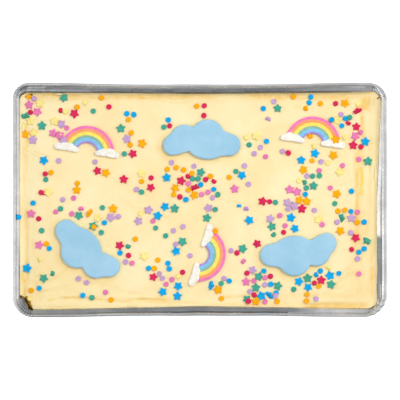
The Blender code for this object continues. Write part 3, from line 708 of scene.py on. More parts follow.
def add_piece(name, bm, materials, smooth_degrees):
    """The mesh as a piece of the object, with its materials and its smooth shading."""
    mesh = as_mesh(name, bm)
    obj = bpy.data.objects.new(name, mesh)
    for material in materials:
        mesh.materials.append(material)
    bpy.context.scene.collection.objects.link(obj)
    mesh.shade_smooth()
    mesh.set_sharp_from_angle(angle=math.radians(smooth_degrees))
    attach(obj, "root")
    return obj


def face_outwards(bm):
    bmesh.ops.recalc_face_normals(bm, faces=bm.faces)


def grow_ring(bm, edges):
    """Extrudes a loop of edges and returns the new points and the new loop of edges."""
    grown = bmesh.ops.extrude_edge_only(bm, edges=edges)["geom"]
    fresh = {item for item in grown if isinstance(item, bmesh.types.BMVert)}
    loop = [item for item in grown if isinstance(item, bmesh.types.BMEdge) and fresh.issuperset(item.verts)]
    return fresh, loop


def loft(rings):
    """A closed skin through rings of points that all have as many points."""
    bm = bmesh.new()
    station = bm.verts.layers.int.new("station")
    number = bm.verts.layers.int.new("ring")
    loop = [bm.verts.new(point) for point in rings[0]]
    for index, vert in enumerate(loop):
        vert[station] = index
    edges = [bm.edges.new((loop[index - 1], loop[index])) for index in range(len(loop))]
    bmesh.ops.contextual_create(bm, geom=edges)
    for index, ring in enumerate(rings[1:], 1):
        fresh, edges = grow_ring(bm, edges)
        for vert in fresh:
            vert.co = ring[vert[station]]
            vert[number] = index
    bmesh.ops.contextual_create(bm, geom=edges)
    return bm


# Materials


def feed(tree, socket, value):
    """Gives a socket a plain value, or links it to another node's output."""
    if isinstance(value, bpy.types.NodeSocket):
        tree.links.new(value, socket)
    else:
        socket.default_value = value


def node_of(tree, kind, *numbered, **named):
    """A node with its plain settings and its sockets filled in, which go by their numbers or by their
    names."""
    made = tree.nodes.new(kind)
    sockets = list(enumerate(numbered))
    for name, value in named.items():
        if hasattr(made, name):
            setattr(made, name, value)
        else:
            sockets.append((name.replace("_", " "), value))
    for key, value in sockets:
        feed(tree, made.inputs[key], value)
    return made


def noise_of(tree, place, scale, detail, roughness):
    values = {"Vector": place, "Scale": scale, "Detail": detail, "Roughness": roughness}
    return node_of(tree, "ShaderNodeTexNoise", **values).outputs["Fac"]


def mapped(tree, value, low, high, to_low=0.0, to_high=1.0):
    """The value moved from one range to another, and kept inside it."""
    ranges = {"From_Min": low, "From_Max": high, "To_Min": to_low, "To_Max": to_high}
    return node_of(tree, "ShaderNodeMapRange", Value=value, **ranges).outputs["Result"]


def mixed(tree, share, first, second):
    """A colour this share of the way from the first to the second."""
    return node_of(tree, "ShaderNodeMix", data_type="RGBA", Factor=share, A=first, B=second).outputs["Result"]


def worked_out(tree, operation, *values):
    return node_of(tree, "ShaderNodeMath", *values, operation=operation).outputs[0]


def attribute_of(tree, name):
    return node_of(tree, "ShaderNodeAttribute", attribute_name=name).outputs["Fac"]


def object_place(tree):
    return node_of(tree, "ShaderNodeTexCoord").outputs["Object"]


def new_material(name, **values):
    """A material, its node tree and its shader, with these constant numbers on the shader's sockets."""
    material = bpy.data.materials.new(name)
    material.use_nodes = True
    shader = material.node_tree.nodes["Principled BSDF"]
    for key, value in values.items():
        shader.inputs[key.replace("_", " ")].default_value = value
    return material, material.node_tree, shader


def group_sockets(group, inputs, outputs):
    for name, kind, value in inputs:
        socket = group.interface.new_socket(name=name, in_out="INPUT", socket_type=kind)
        socket.default_value = value
    for name, kind in outputs:
        group.interface.new_socket(name=name, in_out="OUTPUT", socket_type=kind)


def mottle_group():
    """Shared by the sugar, fondant and frosting: two sizes of soft patches and a fine grain, as a colour, a
    roughness and a height."""
    group = bpy.data.node_groups.new("mottle", "ShaderNodeTree")
    group_sockets(
        group,
        (
            ("Light", "NodeSocketColor", (1, 1, 1, 1)),
            ("Dark", "NodeSocketColor", (0.8, 0.8, 0.8, 1)),
            ("Patch Scale", "NodeSocketFloat", 120.0),
            ("Grain Scale", "NodeSocketFloat", 2200.0),
            ("Roughness", "NodeSocketFloat", 0.5),
            ("Roughness Spread", "NodeSocketFloat", 0.1),
        ),
        (("Color", "NodeSocketColor"), ("Roughness", "NodeSocketFloat"), ("Height", "NodeSocketFloat")),
    )
    source = group.nodes.new("NodeGroupInput").outputs
    place = object_place(group)
    patches = noise_of(group, place, source["Patch Scale"], *PATCH_NOISE)
    grain = noise_of(group, place, source["Grain Scale"], *GRAIN_NOISE)
    colour = mixed(group, mapped(group, patches, *PATCH_TONES), source["Dark"], source["Light"])
    swing = worked_out(group, "SUBTRACT", grain, 0.5)
    rough = worked_out(group, "MULTIPLY_ADD", swing, source["Roughness Spread"], source["Roughness"])
    height = worked_out(group, "MULTIPLY_ADD", grain, GRAIN_HEIGHT, patches)
    node_of(group, "NodeGroupOutput", Color=colour, Roughness=rough, Height=height)
    return group


def add_mottle(tree, shader, group, light, dark, finish):
    """Feeds a material's colour, roughness and bump with the mottle, and returns the mottle's colour."""
    patch, grain, roughness, spread, bump = finish
    values = {
        "Light": (*light, 1),
        "Dark": (*dark, 1),
        "Patch_Scale": patch,
        "Grain_Scale": grain,
        "Roughness": roughness,
        "Roughness_Spread": spread,
    }
    mottle = node_of(tree, "ShaderNodeGroup", node_tree=group, **values).outputs
    relief = node_of(tree, "ShaderNodeBump", Strength=1.0, Distance=bump, Height=mottle["Height"])
    feed(tree, shader.inputs["Base Color"], mottle["Color"])
    feed(tree, shader.inputs["Roughness"], mottle["Roughness"])
    feed(tree, shader.inputs["Normal"], relief.outputs["Normal"])
    return mottle["Color"]


def sugar_material(name, colour, group):
    """Pressed sugar: matte and finely grained, a little uneven in colour."""
    material, tree, shader = new_material(name, Roughness=0.6, Specular_IOR_Level=0.10)
    light, dark = ([min(1.0, channel * shade) for channel in colour] for shade in SUGAR_SHADES)
    add_mottle(tree, shader, group, light, dark, SUGAR_FINISH)
    return material


def fondant_material(group):
    """Blue fondant: smooth and soft, with faint paler patches of powder."""
    material, tree, shader = new_material("blue_fondant", Roughness=0.55)
    add_mottle(tree, shader, group, FONDANT_PALE, FONDANT, FONDANT_FINISH)
    return material


def frosting_material(group):
    """Butter frosting: cream with paler patches, darker where the knife has left it thin and where shade and
    shadows are painted on it, and dyed by sprinkles."""
    values = {"Subsurface_Weight": 0.12, "Subsurface_Radius": (1.0, 0.7, 0.35), "Subsurface_Scale": 0.0025}
    material, tree, shader = new_material("cream_frosting", Roughness=0.45, **values)
    cream = add_mottle(tree, shader, group, CREAM_PALE, CREAM, FROSTING_FINISH)
    streaks = noise_of(tree, object_place(tree), *RAGGED_NOISE)
    ragged = mapped(tree, streaks, *RAGGED_RANGE)
    # Darker where the frosting is thin, and where shade and shadows are painted on it
    share = worked_out(tree, "MULTIPLY", attribute_of(tree, "thin_and_shade"), ragged)
    thinned_and_shaded = mixed(tree, share, cream, (*CREAM_THIN_AND_SHADE, 1))
    dyed = mixed(tree, attribute_of(tree, "dye"), thinned_and_shaded, (*CREAM_YELLOW, 1))
    feed(tree, shader.inputs["Base Color"], dyed)
    return material


def crust_material(group):
    """Baked sponge crust: dark brown with lighter crumb showing through, pitted all over."""
    material, tree, shader = new_material("sponge_crust", Roughness=0.85)
    add_mottle(tree, shader, group, CRUMB, CRUST, CRUST_FINISH)
    return material


def foil_material():
    """Bright foil with duller patches, fine crinkles, and shade and dark reflections painted in its folds and
    along its rim, ledge and walls.
    """
    material, tree, shader = new_material("foil", Roughness=0.25, Metallic=1.0)
    place = object_place(tree)
    stretched = node_of(tree, "ShaderNodeMapping", Vector=place, Scale=FOIL_STRETCH).outputs["Vector"]
    streaks = noise_of(tree, stretched, *FOIL_NOISE)
    values = {"Vector": place, "Scale": CRINKLE_SCALE}
    crinkles = node_of(tree, "ShaderNodeTexVoronoi", feature="DISTANCE_TO_EDGE", **values)
    colour = mixed(tree, mapped(tree, streaks, *FOIL_TONES), (*FOIL_DARK, 1), (*FOIL_LIGHT, 1))
    # Shade and dark reflections painted into the foil's colour, as its attribute says
    painted_shade_colour = mixed(tree, attribute_of(tree, "crease"), colour, (*FOIL_PAINTED_SHADE, 1))
    heights = worked_out(tree, "MULTIPLY_ADD", crinkles.outputs["Distance"], CRINKLE_SHARE, streaks)
    values = {"Strength": CRINKLE_STRENGTH, "Distance": CRINKLE_HEIGHT}
    relief = node_of(tree, "ShaderNodeBump", Height=heights, **values)
    feed(tree, shader.inputs["Base Color"], painted_shade_colour)
    feed(tree, shader.inputs["Roughness"], mapped(tree, streaks, *FOIL_SHINE))
    feed(tree, shader.inputs["Normal"], relief.outputs["Normal"])
    return material


# Tray


def wall_inset(height):
    """How far the tray's inner wall lies inside the rim's outer edge at this height."""
    return LEDGE_INSET + (LEDGE_HEIGHT - height) * WALL_TAPER


def wall_corners(height):
    """The radii of the tray's inner corners at this height."""
    drawn_in = CORNER_TAPER * (1 - height / LEDGE_HEIGHT)
    return [radius - drawn_in for radius in BASIN_CORNERS]


def smooth_step(value):
    value = min(max(value, 0.0), 1.0)
    return value * value * (3 - 2 * value)


def push_along(wall, share):
    """The push on a wall this share of the way from its middle to an end, with a minus sign at its first
    end."""
    first, middle, last = wall
    end = last if share > 0 else first
    return MM * (middle + abs(share) * (end - middle))


def edge_push(x, y):
    """How far the walls nearest to a point are pushed."""
    push_x = push_along(RIGHT_WALL if x > 0 else LEFT_WALL, 2 * y / TRAY_WIDTH)
    return push_x, push_along(FAR_WALL if y > 0 else NEAR_WALL, 2 * x / TRAY_LENGTH)


def wall_push(x, y):
    """How far the bent walls move a point of the basin: fully beside them, and not in the middle of the
    cake."""
    push_x, push_y = edge_push(x, y)
    near_x = smooth_step((abs(x) - PUSH_END[0]) / PUSH_WIDTH)
    near_y = smooth_step((abs(y) - PUSH_END[1]) / PUSH_WIDTH)
    return near_x * push_x, near_y * push_y


def seen_push(x, y, height):
    """The same for what is seen: above the sponge the foil at -X and at the far side has crept in a little
    more."""
    push_x, push_y = wall_push(x, y)
    above = smooth_step((height - SPONGE_TOP) / EXTRA_RISE)
    push_x += LEFT_EXTRA * above * smooth_step((-x - PUSH_END[0]) / PUSH_WIDTH)
    return push_x, push_y - FAR_EXTRA * above * smooth_step((y - PUSH_END[1]) / PUSH_WIDTH)


def tray_stations():
    """Where the tray's skin has its points: the quarter, the angle in its corner, how far along the side
    that follows, and the fold there. Folds run in the corners only."""
    draw = random.Random(SEED)
    stations = []
    for quarter in range(4):
        steps = PLEATS[quarter] * PLEAT_STEPS
        depths = [PLEAT_DEPTHS[quarter] * draw.uniform(*PLEAT_SPREAD) for _ in range(PLEATS[quarter] + 1)]
        for step in range(steps):
            pleat, phase = divmod(step, PLEAT_STEPS)
            ends = min(1.0, step / PLEAT_STEPS, (steps - step) / PLEAT_STEPS)
            fold = depths[pleat] * PLEAT_SHAPE[phase] * ends
            stations.append((quarter, 90 * (quarter + step / steps), 0.0, fold))
        side_steps = LONG_SIDE_STEPS if quarter % 2 == 0 else SHORT_SIDE_STEPS
        for step in range(side_steps):
            stations.append((quarter, 90 * (quarter + 1), step / side_steps, 0.0))
    return stations


def corner_middle(quarter, inset, radii):
    side_x = 1 if quarter in (0, 3) else -1
    side_y = 1 if quarter in (0, 1) else -1
    radius = radii[quarter]
    return Vector((side_x * (TRAY_LENGTH / 2 - inset - radius), side_y * (TRAY_WIDTH / 2 - inset - radius)))


def lean_share(quarter, degrees, along):
    """How much the foil leans in here, over the low crust of the corner at -X -Y, where the cake stops
    short."""
    if quarter != 2 or along > 0:
        return 0.0
    turned = (degrees - 180) / 90
    return smooth_step(turned / LEAN_START_FADE) * smooth_step((LEAN_STOP - turned) / LEAN_STOP_FADE)


def corner_lean(station, height):
    if height < LEAN_END:
        return 0.0
    below = min(1.0, (LEDGE_HEIGHT - height) / LEAN_DROP)
    above_end = min(1.0, (height - LEAN_END) / (LEDGE_HEIGHT - LEAN_DROP - LEAN_END))
    return LEAN * lean_share(*station[:3]) * max(0.0, below) * above_end


def bow_at(x, ring):
    """How far the rim bows out here: the whole rolled rim, and the ledge less and less towards the wall."""
    share = 1.0
    if ring.in_basin:
        share = min(max((ring.height - LEDGE_HEIGHT) / (LEDGE_START - LEDGE_HEIGHT), 0.0), 1.0)
    return share * BOW * smooth_step((abs(x) - BOW_START) / BOW_LENGTH)


def wall_ribs(station, middle, way, ring):
    """The outward folds of the walls' outer skin in the corners, and the faint upright ribs of all the
    walls."""
    if not ring.ribs:
        return 0.0
    across = middle + way * RIB_REACH
    rising = smooth_step(ring.height / RIB_RISE)
    rib = noise.noise(Vector((across.x / RIB_WIDTH, across.y / RIB_WIDTH, ring.height * RIB_STRETCH)))
    return ring.ribs * rising * (RIB_DEPTH * rib + RIB_FOLD * max(0.0, station[3]) * MM)


def tray_point(station, ring):
    """A point of the tray's skin, with the foil's folds in the corners and its faint dents all round."""
    quarter, degrees, along, fold = station
    after = (quarter + 1) % 4
    middle, next_middle = (corner_middle(corner, ring.inset, ring.radii) for corner in (quarter, after))
    middle = middle.lerp(next_middle, along)
    way = Vector((math.cos(math.radians(degrees)), math.sin(math.radians(degrees))))
    level, upright = DENT_SCALE
    dent = DENT * noise.noise(Vector((middle.x * level, middle.y * level, ring.height * upright)))
    radius = ring.radii[quarter] + along * (ring.radii[after] - ring.radii[quarter])
    radius -= corner_lean(station, ring.height) if ring.in_basin else 0.0
    radius += wall_ribs(station, middle, way, ring)
    spot = middle + way * (radius + ring.folding * (fold + dent) * MM)
    push_x, push_y = seen_push(spot.x, spot.y, ring.height) if ring.in_basin else (0.0, 0.0)
    narrower = max(push_x * math.copysign(1, spot.x), push_y * math.copysign(1, spot.y), key=abs)
    lift = LEDGE_FOLLOW * narrower if ring.height > FROSTING_TOP else 0.0
    height = ring.height + lift + FOLD_RISE * ring.folding * (fold + dent) * MM
    push_y += math.copysign(bow_at(spot.x, ring), spot.y)
    return Vector((spot.x + push_x, spot.y + push_y, height))


def bead_width(station):
    """The rolled rim is flattened wider on the tray's right-hand side."""
    quarter, degrees, along, _ = station
    share = 0.0
    if quarter == 3:
        share = smooth_step((degrees - 270) / FLAT_FADE) if along == 0 else 1.0
    if quarter == 0 and along == 0:
        share = 1 - smooth_step((degrees - FLAT_END) / FLAT_FADE)
    return 1 + FLAT_BEAD * share


def rim_radii(inset):
    return [radius - inset for radius in RIM_CORNERS]


def tray_profile():
    """The tray's section from the outer edge of the floor up the outside, over the rolled rim and down the
    inside, with how deeply the foil folds and how dark the shade painted on it is at each ring."""
    wall_foot = FLOOR_ROUND + FOIL
    foot = wall_inset(wall_foot)

    def outside(inset, height, folding):
        radii = [radius + FOIL for radius in wall_corners(height)]
        return TrayRing(inset - FOIL, height, radii, folding, True, OUTER_PAINTED_SHADE, 1.0)

    def rim(inset, height, folding, crease):
        return TrayRing(inset, height, rim_radii(inset), folding, False, crease, 0.0)

    section = [outside(foot + share * FLOOR_ROUND, rise * FLOOR_ROUND, 0.0) for share, rise in FLOOR_CURVE]
    for step in range(WALL_STEPS + 1):
        height = FLOOR_ROUND + step / WALL_STEPS * (LEDGE_HEIGHT - FOIL - FLOOR_ROUND)
        section.append(outside(wall_inset(height + FOIL), height, WALL_FOLDING))
    for step in range(BEAD_STEPS + 1):
        angle = math.radians(BEAD_START - BEAD_TURN * step / BEAD_STEPS)
        inset = BEAD / 2 + BEAD / 2 * math.cos(angle)
        height = TRAY_HEIGHT - BEAD / 2 + BEAD / 2 * math.sin(angle)
        crease = BEAD_PAINTED_SHADE + BEAD_SIDE_PAINTED_SHADE * max(0.0, -math.cos(angle)) ** 2
        section.append(rim(inset, height, BEAD_FOLDING, crease))
    for share, crease, is_low in LEDGE_RINGS:
        inset = BEAD + share * (LEDGE_INSET - BEAD)
        radii = [near + share * (far - near) for near, far in zip(rim_radii(BEAD), BASIN_CORNERS)]
        height = LEDGE_START + share * (LEDGE_HEIGHT - LEDGE_START)
        section.append(TrayRing(inset, height, radii, 1.0, is_low, crease, 0.0))
    for step in range(WALL_STEPS + 1):
        share = (step / WALL_STEPS) ** WALL_CROWDING
        height = LEDGE_HEIGHT + share * (wall_foot - LEDGE_HEIGHT)
        crease = WALL_PAINTED_SHADE if step < WALL_PAINTED_SHADE_STEPS else 0.0
        ribs = INNER_RIBS if step else 0.0
        inset, radii = wall_inset(height), wall_corners(height)
        section.append(TrayRing(inset, height, radii, WALL_FOLDING, True, crease, ribs))
    for share, rise in reversed(FLOOR_CURVE):
        inset, height = foot + share * FLOOR_ROUND, FOIL + rise * FLOOR_ROUND
        section.append(TrayRing(inset, height, wall_corners(height), 0.0, True, 0.0, 0.0))
    return section


def painted_reflection_stretch(ring, point):
    """A dark reflection is painted along part of the ledge at +X, on its inner part only at the stretch's
    near end.
    """
    low, high = DARK_REFLECTION_LEDGE
    share = DARK_REFLECTION_STARTS[0] if point.y > DARK_REFLECTION_NARROW else DARK_REFLECTION_STARTS[1]
    start = BEAD + share * (LEDGE_INSET - BEAD)
    is_ledge = ring.in_basin and ring.height > FROSTING_TOP and ring.inset > start
    if not is_ledge or point.x < 0:
        return 0.0
    return DARK_REFLECTION * smooth_step((point.y - low) / DARK_REFLECTION_END) * smooth_step((high - point.y) / DARK_REFLECTION_END)


def painted_side_shade(ring, degrees, point):
    """How dark the shade and reflection painted on the rim and its ledge are: near the corners of the long
    sides, and along most of the near side."""
    if ring.in_basin and ring.height < FROSTING_TOP:
        return 0.0
    faces_y = math.sin(math.radians(degrees))
    far_left, far_right, near = BOW_PAINTED_SHADES
    depth = 1.0 if BEAD <= ring.inset < BOW_INNER else BOW_INNER_SHARE
    bowed = near if faces_y < 0 else far_right if point.x > 0 else far_left * depth
    dark = bowed * smooth_step((abs(point.x) - BOW_START) / BOW_LENGTH)
    if faces_y < 0:
        start, width = NEAR_PAINTED_SHADE_END
        dark = max(dark, NEAR_PAINTED_SHADE if ring.in_basin else 0.0) * (1 - smooth_step((point.x - start) / width))
    return dark * abs(faces_y)


def painted_edge_shade(station):
    """How dark the shade painted along the wall's upper edge is: in a corner as much as the table says, along
    the far side all the way, and along the other sides near their ends only."""
    quarter, _, along, _ = station
    if along == 0:
        return WALL_PAINTED_SHADE_CORNERS[quarter]
    if quarter == 0:
        return WALL_PAINTED_SHADE * smooth_step(along / FAR_PAINTED_SHADE_START)
    start, end = PAINTED_SHADE_ENDS
    corner = WALL_PAINTED_SHADE_CORNERS[quarter if along < 0.5 else (quarter + 1) % 4]
    return corner * smooth_step((abs(2 * along - 1) - start) / (end - start))


def bead_share(angle, point):
    """How much of the shade painted on the rolled rim shows here: it is darkest on the near side, then on the
    left.
    """
    share = abs(math.cos(angle)) * (RIGHT_BEAD if point.x > 0 else 1.0)
    if point.y < 0 and point.x < NEAR_PAINTED_SHADE_END[0]:
        share = max(share, NEAR_BEAD * abs(math.sin(angle)))
    return share


def painted_foil_shade(station, ring, point):
    """How dark the shade and reflection painted on the foil are here: in a fold of a corner, along the sides
    of the rolled rim at the ends, along the wall's upper edge, where it leans in, and on the stretch with a
    painted dark reflection."""
    quarter, degrees, _, fold = station
    in_fold = ring.folding * max(0.0, VALLEY_SHARE - fold / MAX_FOLD) if fold else 0.0
    crease = painted_edge_shade(station) if ring.crease == WALL_PAINTED_SHADE else ring.crease
    if not ring.in_basin:
        crease *= bead_share(math.radians(degrees), point)
    leaning = LEAN_PAINTED_SHADE * lean_share(*station[:3]) if ring.in_basin and ring.height <= LEDGE_HEIGHT else 0.0
    dark = max(crease, painted_side_shade(ring, degrees, point), leaning, painted_reflection_stretch(ring, point))
    return min(1.0, dark + PLEAT_PAINTED_SHADE[quarter] * in_fold)


def crinkled_tray(material):
    stations = tray_stations()
    rings = []
    painted_shades = []
    for ring in tray_profile():
        points = []
        for station in stations:
            reach = 1.0 if ring.in_basin else bead_width(station)
            radii = ring.radii if ring.in_basin else [corner - ring.inset * reach for corner in RIM_CORNERS]
            points.append(tray_point(station, ring._replace(inset=ring.inset * reach, radii=radii)))
        rings.append(points)
        painted_shades.append([painted_foil_shade(station, ring, point) for station, point in zip(stations, points)])
    bm = loft(rings)
    # Each point keeps how much shade and dark reflection is painted on the foil there
    shade_layer = bm.verts.layers.float.new("crease")
    number = bm.verts.layers.int["ring"]
    station_layer = bm.verts.layers.int["station"]
    for vert in bm.verts:
        vert[shade_layer] = painted_shades[vert[number]][vert[station_layer]]
    face_outwards(bm)
    tray = add_piece("crinkled_foil_tray", bm, [material], smooth_degrees=40)
    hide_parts("foil_tray")


# Where things lie


def ray_to_lobe(angle, lobe):
    """How far from the middle a ray at this angle leaves an oval lobe, or 0 where it misses it, in mm."""
    across, up, half_width, half_height = lobe
    ray_x = math.cos(angle) / half_width
    ray_y = math.sin(angle) / half_height
    middle_x = across / half_width
    middle_y = up / half_height
    square = ray_x**2 + ray_y**2
    along = ray_x * middle_x + ray_y * middle_y
    inside = along**2 - square * (middle_x**2 + middle_y**2 - 1)
    return (along + math.sqrt(inside)) / square if inside > 0 else 0.0


def lobed_reach(angle, lobes, softness):
    """The outline of overlapping lobes at this angle, its notches softened, in metres."""
    reaches = [max(ray_to_lobe(angle + math.radians(offset), lobe) for lobe in lobes) for offset in softness]
    return MM * sum(reaches) / len(reaches)


def place_of(topping):
    """Where a topping lies, as a turn and a move in the plane of the frosting's top."""
    _, _, across, up, turn = topping
    spot = Matrix.Translation((across * MM, up * MM, 0.0))
    return spot @ Matrix.Rotation(math.radians(turn), 4, "Z")


TO_TOPPING = [(topping[1], place_of(topping).inverted()) for topping in TOPPINGS]


def over_lobes(x, y, lobes, margin):
    """Whether a point lies on overlapping lobes, or closer to them than the margin."""
    for across, up, half_width, half_height in lobes:
        ratio_x = (x - across * MM) / (half_width * MM + margin)
        ratio_y = (y - up * MM) / (half_height * MM + margin)
        if math.hypot(ratio_x, ratio_y) < 1:
            return True
    return False


def over_topping(x, y, reach):
    """Whether something this wide would touch a topping."""
    margin = reach + TOPPING_CLEARANCE
    for kind, inward in TO_TOPPING:
        near = inward @ Vector((x, y, 0.0))
        if kind == "cloud":
            if over_lobes(near.x, near.y, CLOUD_LOBES, margin):
                return True
            continue
        far = math.hypot(near.x, near.y)
        if ARCH_INNER - margin < far < ARCH_OUTER + margin and near.y > -margin:
            return True
        if over_lobes(abs(near.x) - FOOT_MIDDLE[0], near.y - FOOT_MIDDLE[1], FOOT_LOBES, margin):
            return True
    return False


def quarter_of(x, y):
    """The quarter that a point lies in, counted anticlockwise from the one at +X +Y."""
    return (0 if x > 0 else 1) if y > 0 else (3 if x > 0 else 2)


def side_distances(x, y):
    """How far a point lies from the frosting's far side, and from the nearest of its other sides."""
    push_x, push_y = edge_push(x, y)
    edge = wall_inset(FROSTING_TOP) + GAP
    half_length = TRAY_LENGTH / 2 - edge
    half_width = TRAY_WIDTH / 2 - edge
    to_end = half_length - abs(x - push_x)
    to_far, to_near = half_width - (y - push_y), half_width + (y - push_y)
    return to_far, min(to_end, to_near)


def past_edge(x, y, reach):
    """Whether something this wide would hang past the frosting's edge, or past one of its rounded
    corners."""
    if min(side_distances(x, y)) < reach:
        return True
    push_x, push_y = wall_push(x, y)
    x, y = x - push_x, y - push_y
    edge = wall_inset(FROSTING_TOP) + GAP
    radius = FROSTING_CORNERS[quarter_of(x, y)]
    out_x = abs(x) - (TRAY_LENGTH / 2 - edge - radius)
    out_y = abs(y) - (TRAY_WIDTH / 2 - edge - radius)
    return out_x > 0 and out_y > 0 and math.hypot(out_x, out_y) > radius - reach


def bed_cover(x, y):
    """1 where a topping has pressed the frosting flat, falling to 0 round it."""
    cover = 0.0
    for kind, inward in TO_TOPPING:
        near = inward @ Vector((x, y, 0.0))
        if kind == "cloud":
            ratio = math.hypot(near.x / CLOUD_BED[0], near.y / CLOUD_BED[1])
        else:
            ratio = math.hypot(near.x / RAINBOW_BED[0], (near.y - RAINBOW_BED_MIDDLE) / RAINBOW_BED[1])
        cover = max(cover, 1 - smooth_step((ratio - 1) / BED_FADE))
    return cover


def in_line(x, y, across, up, turn):
    """How far a point lies along a line through this middle, and how far aside from it, in mm."""
    angle = math.radians(turn)
    dx, dy = x / MM - across, y / MM - up
    return dx * math.cos(angle) + dy * math.sin(angle), dy * math.cos(angle) - dx * math.sin(angle)


def sweep_depth(x, y, sweep):
    """The hollow that one sweep of the knife leaves here, in mm."""
    *line, length, width, depth = sweep
    along, aside = in_line(x, y, *line)
    ratio = (2 * along / length) ** 2 + (2 * aside / width) ** 2
    return depth * max(0.0, 1 - ratio) ** 2


def frosting_height(x, y):
    """The height of the frosting's top: slow swells, knife sweeps, and its rise or drop at the tray's
    walls."""
    relief = 0.0
    for height, across, up, shift in SWELLS:
        relief += height * math.sin(math.tau * x / across + shift) * math.cos(math.tau * y / up - shift)
    relief -= MM * sum(sweep_depth(x, y, sweep) for sweep in SWEEPS)
    relief *= 1 - bed_cover(x, y)
    at_far_wall, at_wall = (max(0.0, 1 - far / EDGE_WIDTH) ** 2 for far in side_distances(x, y))
    return FROSTING_TOP + relief + EDGE_RISE * at_wall - FAR_EDGE_DIP * at_far_wall


# Frosting


def mark_relief(x, y, mark):
    """One fine knife mark here: its hollow, and the lip that the knife pushed up along one side, in mm."""
    *line, length, width, bend, depth, lip = mark
    along, aside = in_line(x, y, *line)
    aside -= bend * along**2
    if abs(along) > length / 2 or abs(aside) > MARK_REACH * width:
        return 0.0
    fade = smooth_step(MARK_FADE * (1 - abs(2 * along / length)))
    hollow = depth * max(0.0, 1 - (aside / width) ** 2) ** 2
    crest = lip * math.exp(-(((aside - LIP_ASIDE * width) / (LIP_WIDTH * width)) ** 2))
    return fade * (crest - hollow)


def streaked(x, y, streaks):
    """How strongly the frosting is streaked here, from 0 to 1."""
    strongest = 0.0
    for across, up, turn, length, width, bend, strength in streaks:
        along, aside = in_line(x, y, across, up, turn)
        if abs(along) > length / 2:
            continue
        aside -= bend * along**2
        aside += STREAK_WANDER * noise.noise(Vector((along * WANDER_SCALE, across, up)))
        if abs(aside) > MARK_REACH * width:
            continue
        fade = smooth_step(STREAK_FADE * (1 - abs(2 * along / length)))
        place = Vector((along * BREAK_SCALE[0], aside * BREAK_SCALE[1], across + up))
        broken = 1.0 + STREAK_BREAKS * noise.noise(place)
        strongest = max(strongest, strength * fade * broken * math.exp(-((aside / width) ** 2)))
    return min(1.0, strongest)


def cream_height(x, y):
    """The frosting's top with its fine knife marks and its small unevenness, and that fine part alone in
    mm."""
    fine = sum(mark_relief(x, y, mark) for mark in MARKS)
    for depth, scale_x, scale_y, shift in UNEVENNESS:
        fine += depth * noise.noise(Vector((x * scale_x, y * scale_y, shift)))
    return frosting_height(x, y) + fine * MM * (1 - BED_FLATNESS * bed_cover(x, y)), fine


def painted_cloud_shadow(x, y):
    """How much shadow is painted here beside a cloud, shifted away from the key light: 1 at its side, then
    less."""
    shadowed = 0.0
    for kind, inward in TO_TOPPING:
        if kind != "cloud":
            continue
        near = inward @ Vector((x + PAINTED_SHADOW_SHIFT[0], y + PAINTED_SHADOW_SHIFT[1], 0.0))
        for step in range(PAINTED_SHADOW_STEPS):
            if over_lobes(near.x, near.y, CLOUD_LOBES, PAINTED_SHADOW_WIDTH * step / PAINTED_SHADOW_STEPS):
                shadowed = max(shadowed, 1 - step / PAINTED_SHADOW_STEPS)
                break
    return smooth_step(shadowed)


def drawn_in(x, y):
    """Moves a point out of the round gap in the corner at -X -Y."""
    spoke = Vector((x, y)) - GAP_MIDDLE
    depth = GAP_RADIUS + GAP_SOFTNESS - spoke.length
    if depth > 0:
        spoke.length = GAP_RADIUS + GAP_SOFTNESS * math.exp(-depth / GAP_SOFTNESS)
    return GAP_MIDDLE + spoke


def slab_point(u, v, height, inset):
    """A point of the frosting's slab: u and v run from -1 to 1 across a square whose corners are rounded
    off."""
    edge = wall_inset(height) + inset
    half_length = TRAY_LENGTH / 2 - edge
    half_width = TRAY_WIDTH / 2 - edge
    radius = wall_corners(height)[quarter_of(u, v)] + CORNER_EASE - inset
    x, y = abs(u) * half_length, abs(v) * half_width
    in_x = max(0.0, (x - half_length + radius) / radius)
    in_y = max(0.0, (y - half_width + radius) / radius)
    if in_x > 0 and in_y > 0:
        x = half_length - radius + radius * in_x * math.sqrt(1 - in_y**2 / 2)
        y = half_width - radius + radius * in_y * math.sqrt(1 - in_x**2 / 2)
    x, y = math.copysign(x, u), math.copysign(y, v)
    push_x, push_y = seen_push(x, y, height)
    return drawn_in(x + push_x, y + push_y)


def spaced(value):
    """Moves the grid's lines closer together towards its edges, where the frosting is smeared up the
    wall."""
    return GRID_EVEN * value + (1 - GRID_EVEN) * math.sin(math.pi / 2 * value)


def climb(u, v):
    """How high the frosting is smeared up the nearest walls here."""
    distances = ((1 - v) * TRAY_WIDTH / 2, (1 + v) * TRAY_WIDTH / 2, (1 - abs(u)) * TRAY_LENGTH / 2)
    rises = [high * max(0.0, 1 - far / wide) ** 2 for far, (high, wide) in zip(distances, CLIMBS)]
    away_from_gap = smooth_step((CLIMB_STOP - min(-u, -v)) / CLIMB_FADE)
    x, y = (u - 1) * TRAY_LENGTH / 2, (v - 1) * TRAY_WIDTH / 2
    in_far_corner = CORNER_CLIMB * smooth_step(1 - math.hypot(x, y) / CORNER_CLIMB_WIDTH)
    return max(rises) * away_from_gap + in_far_corner


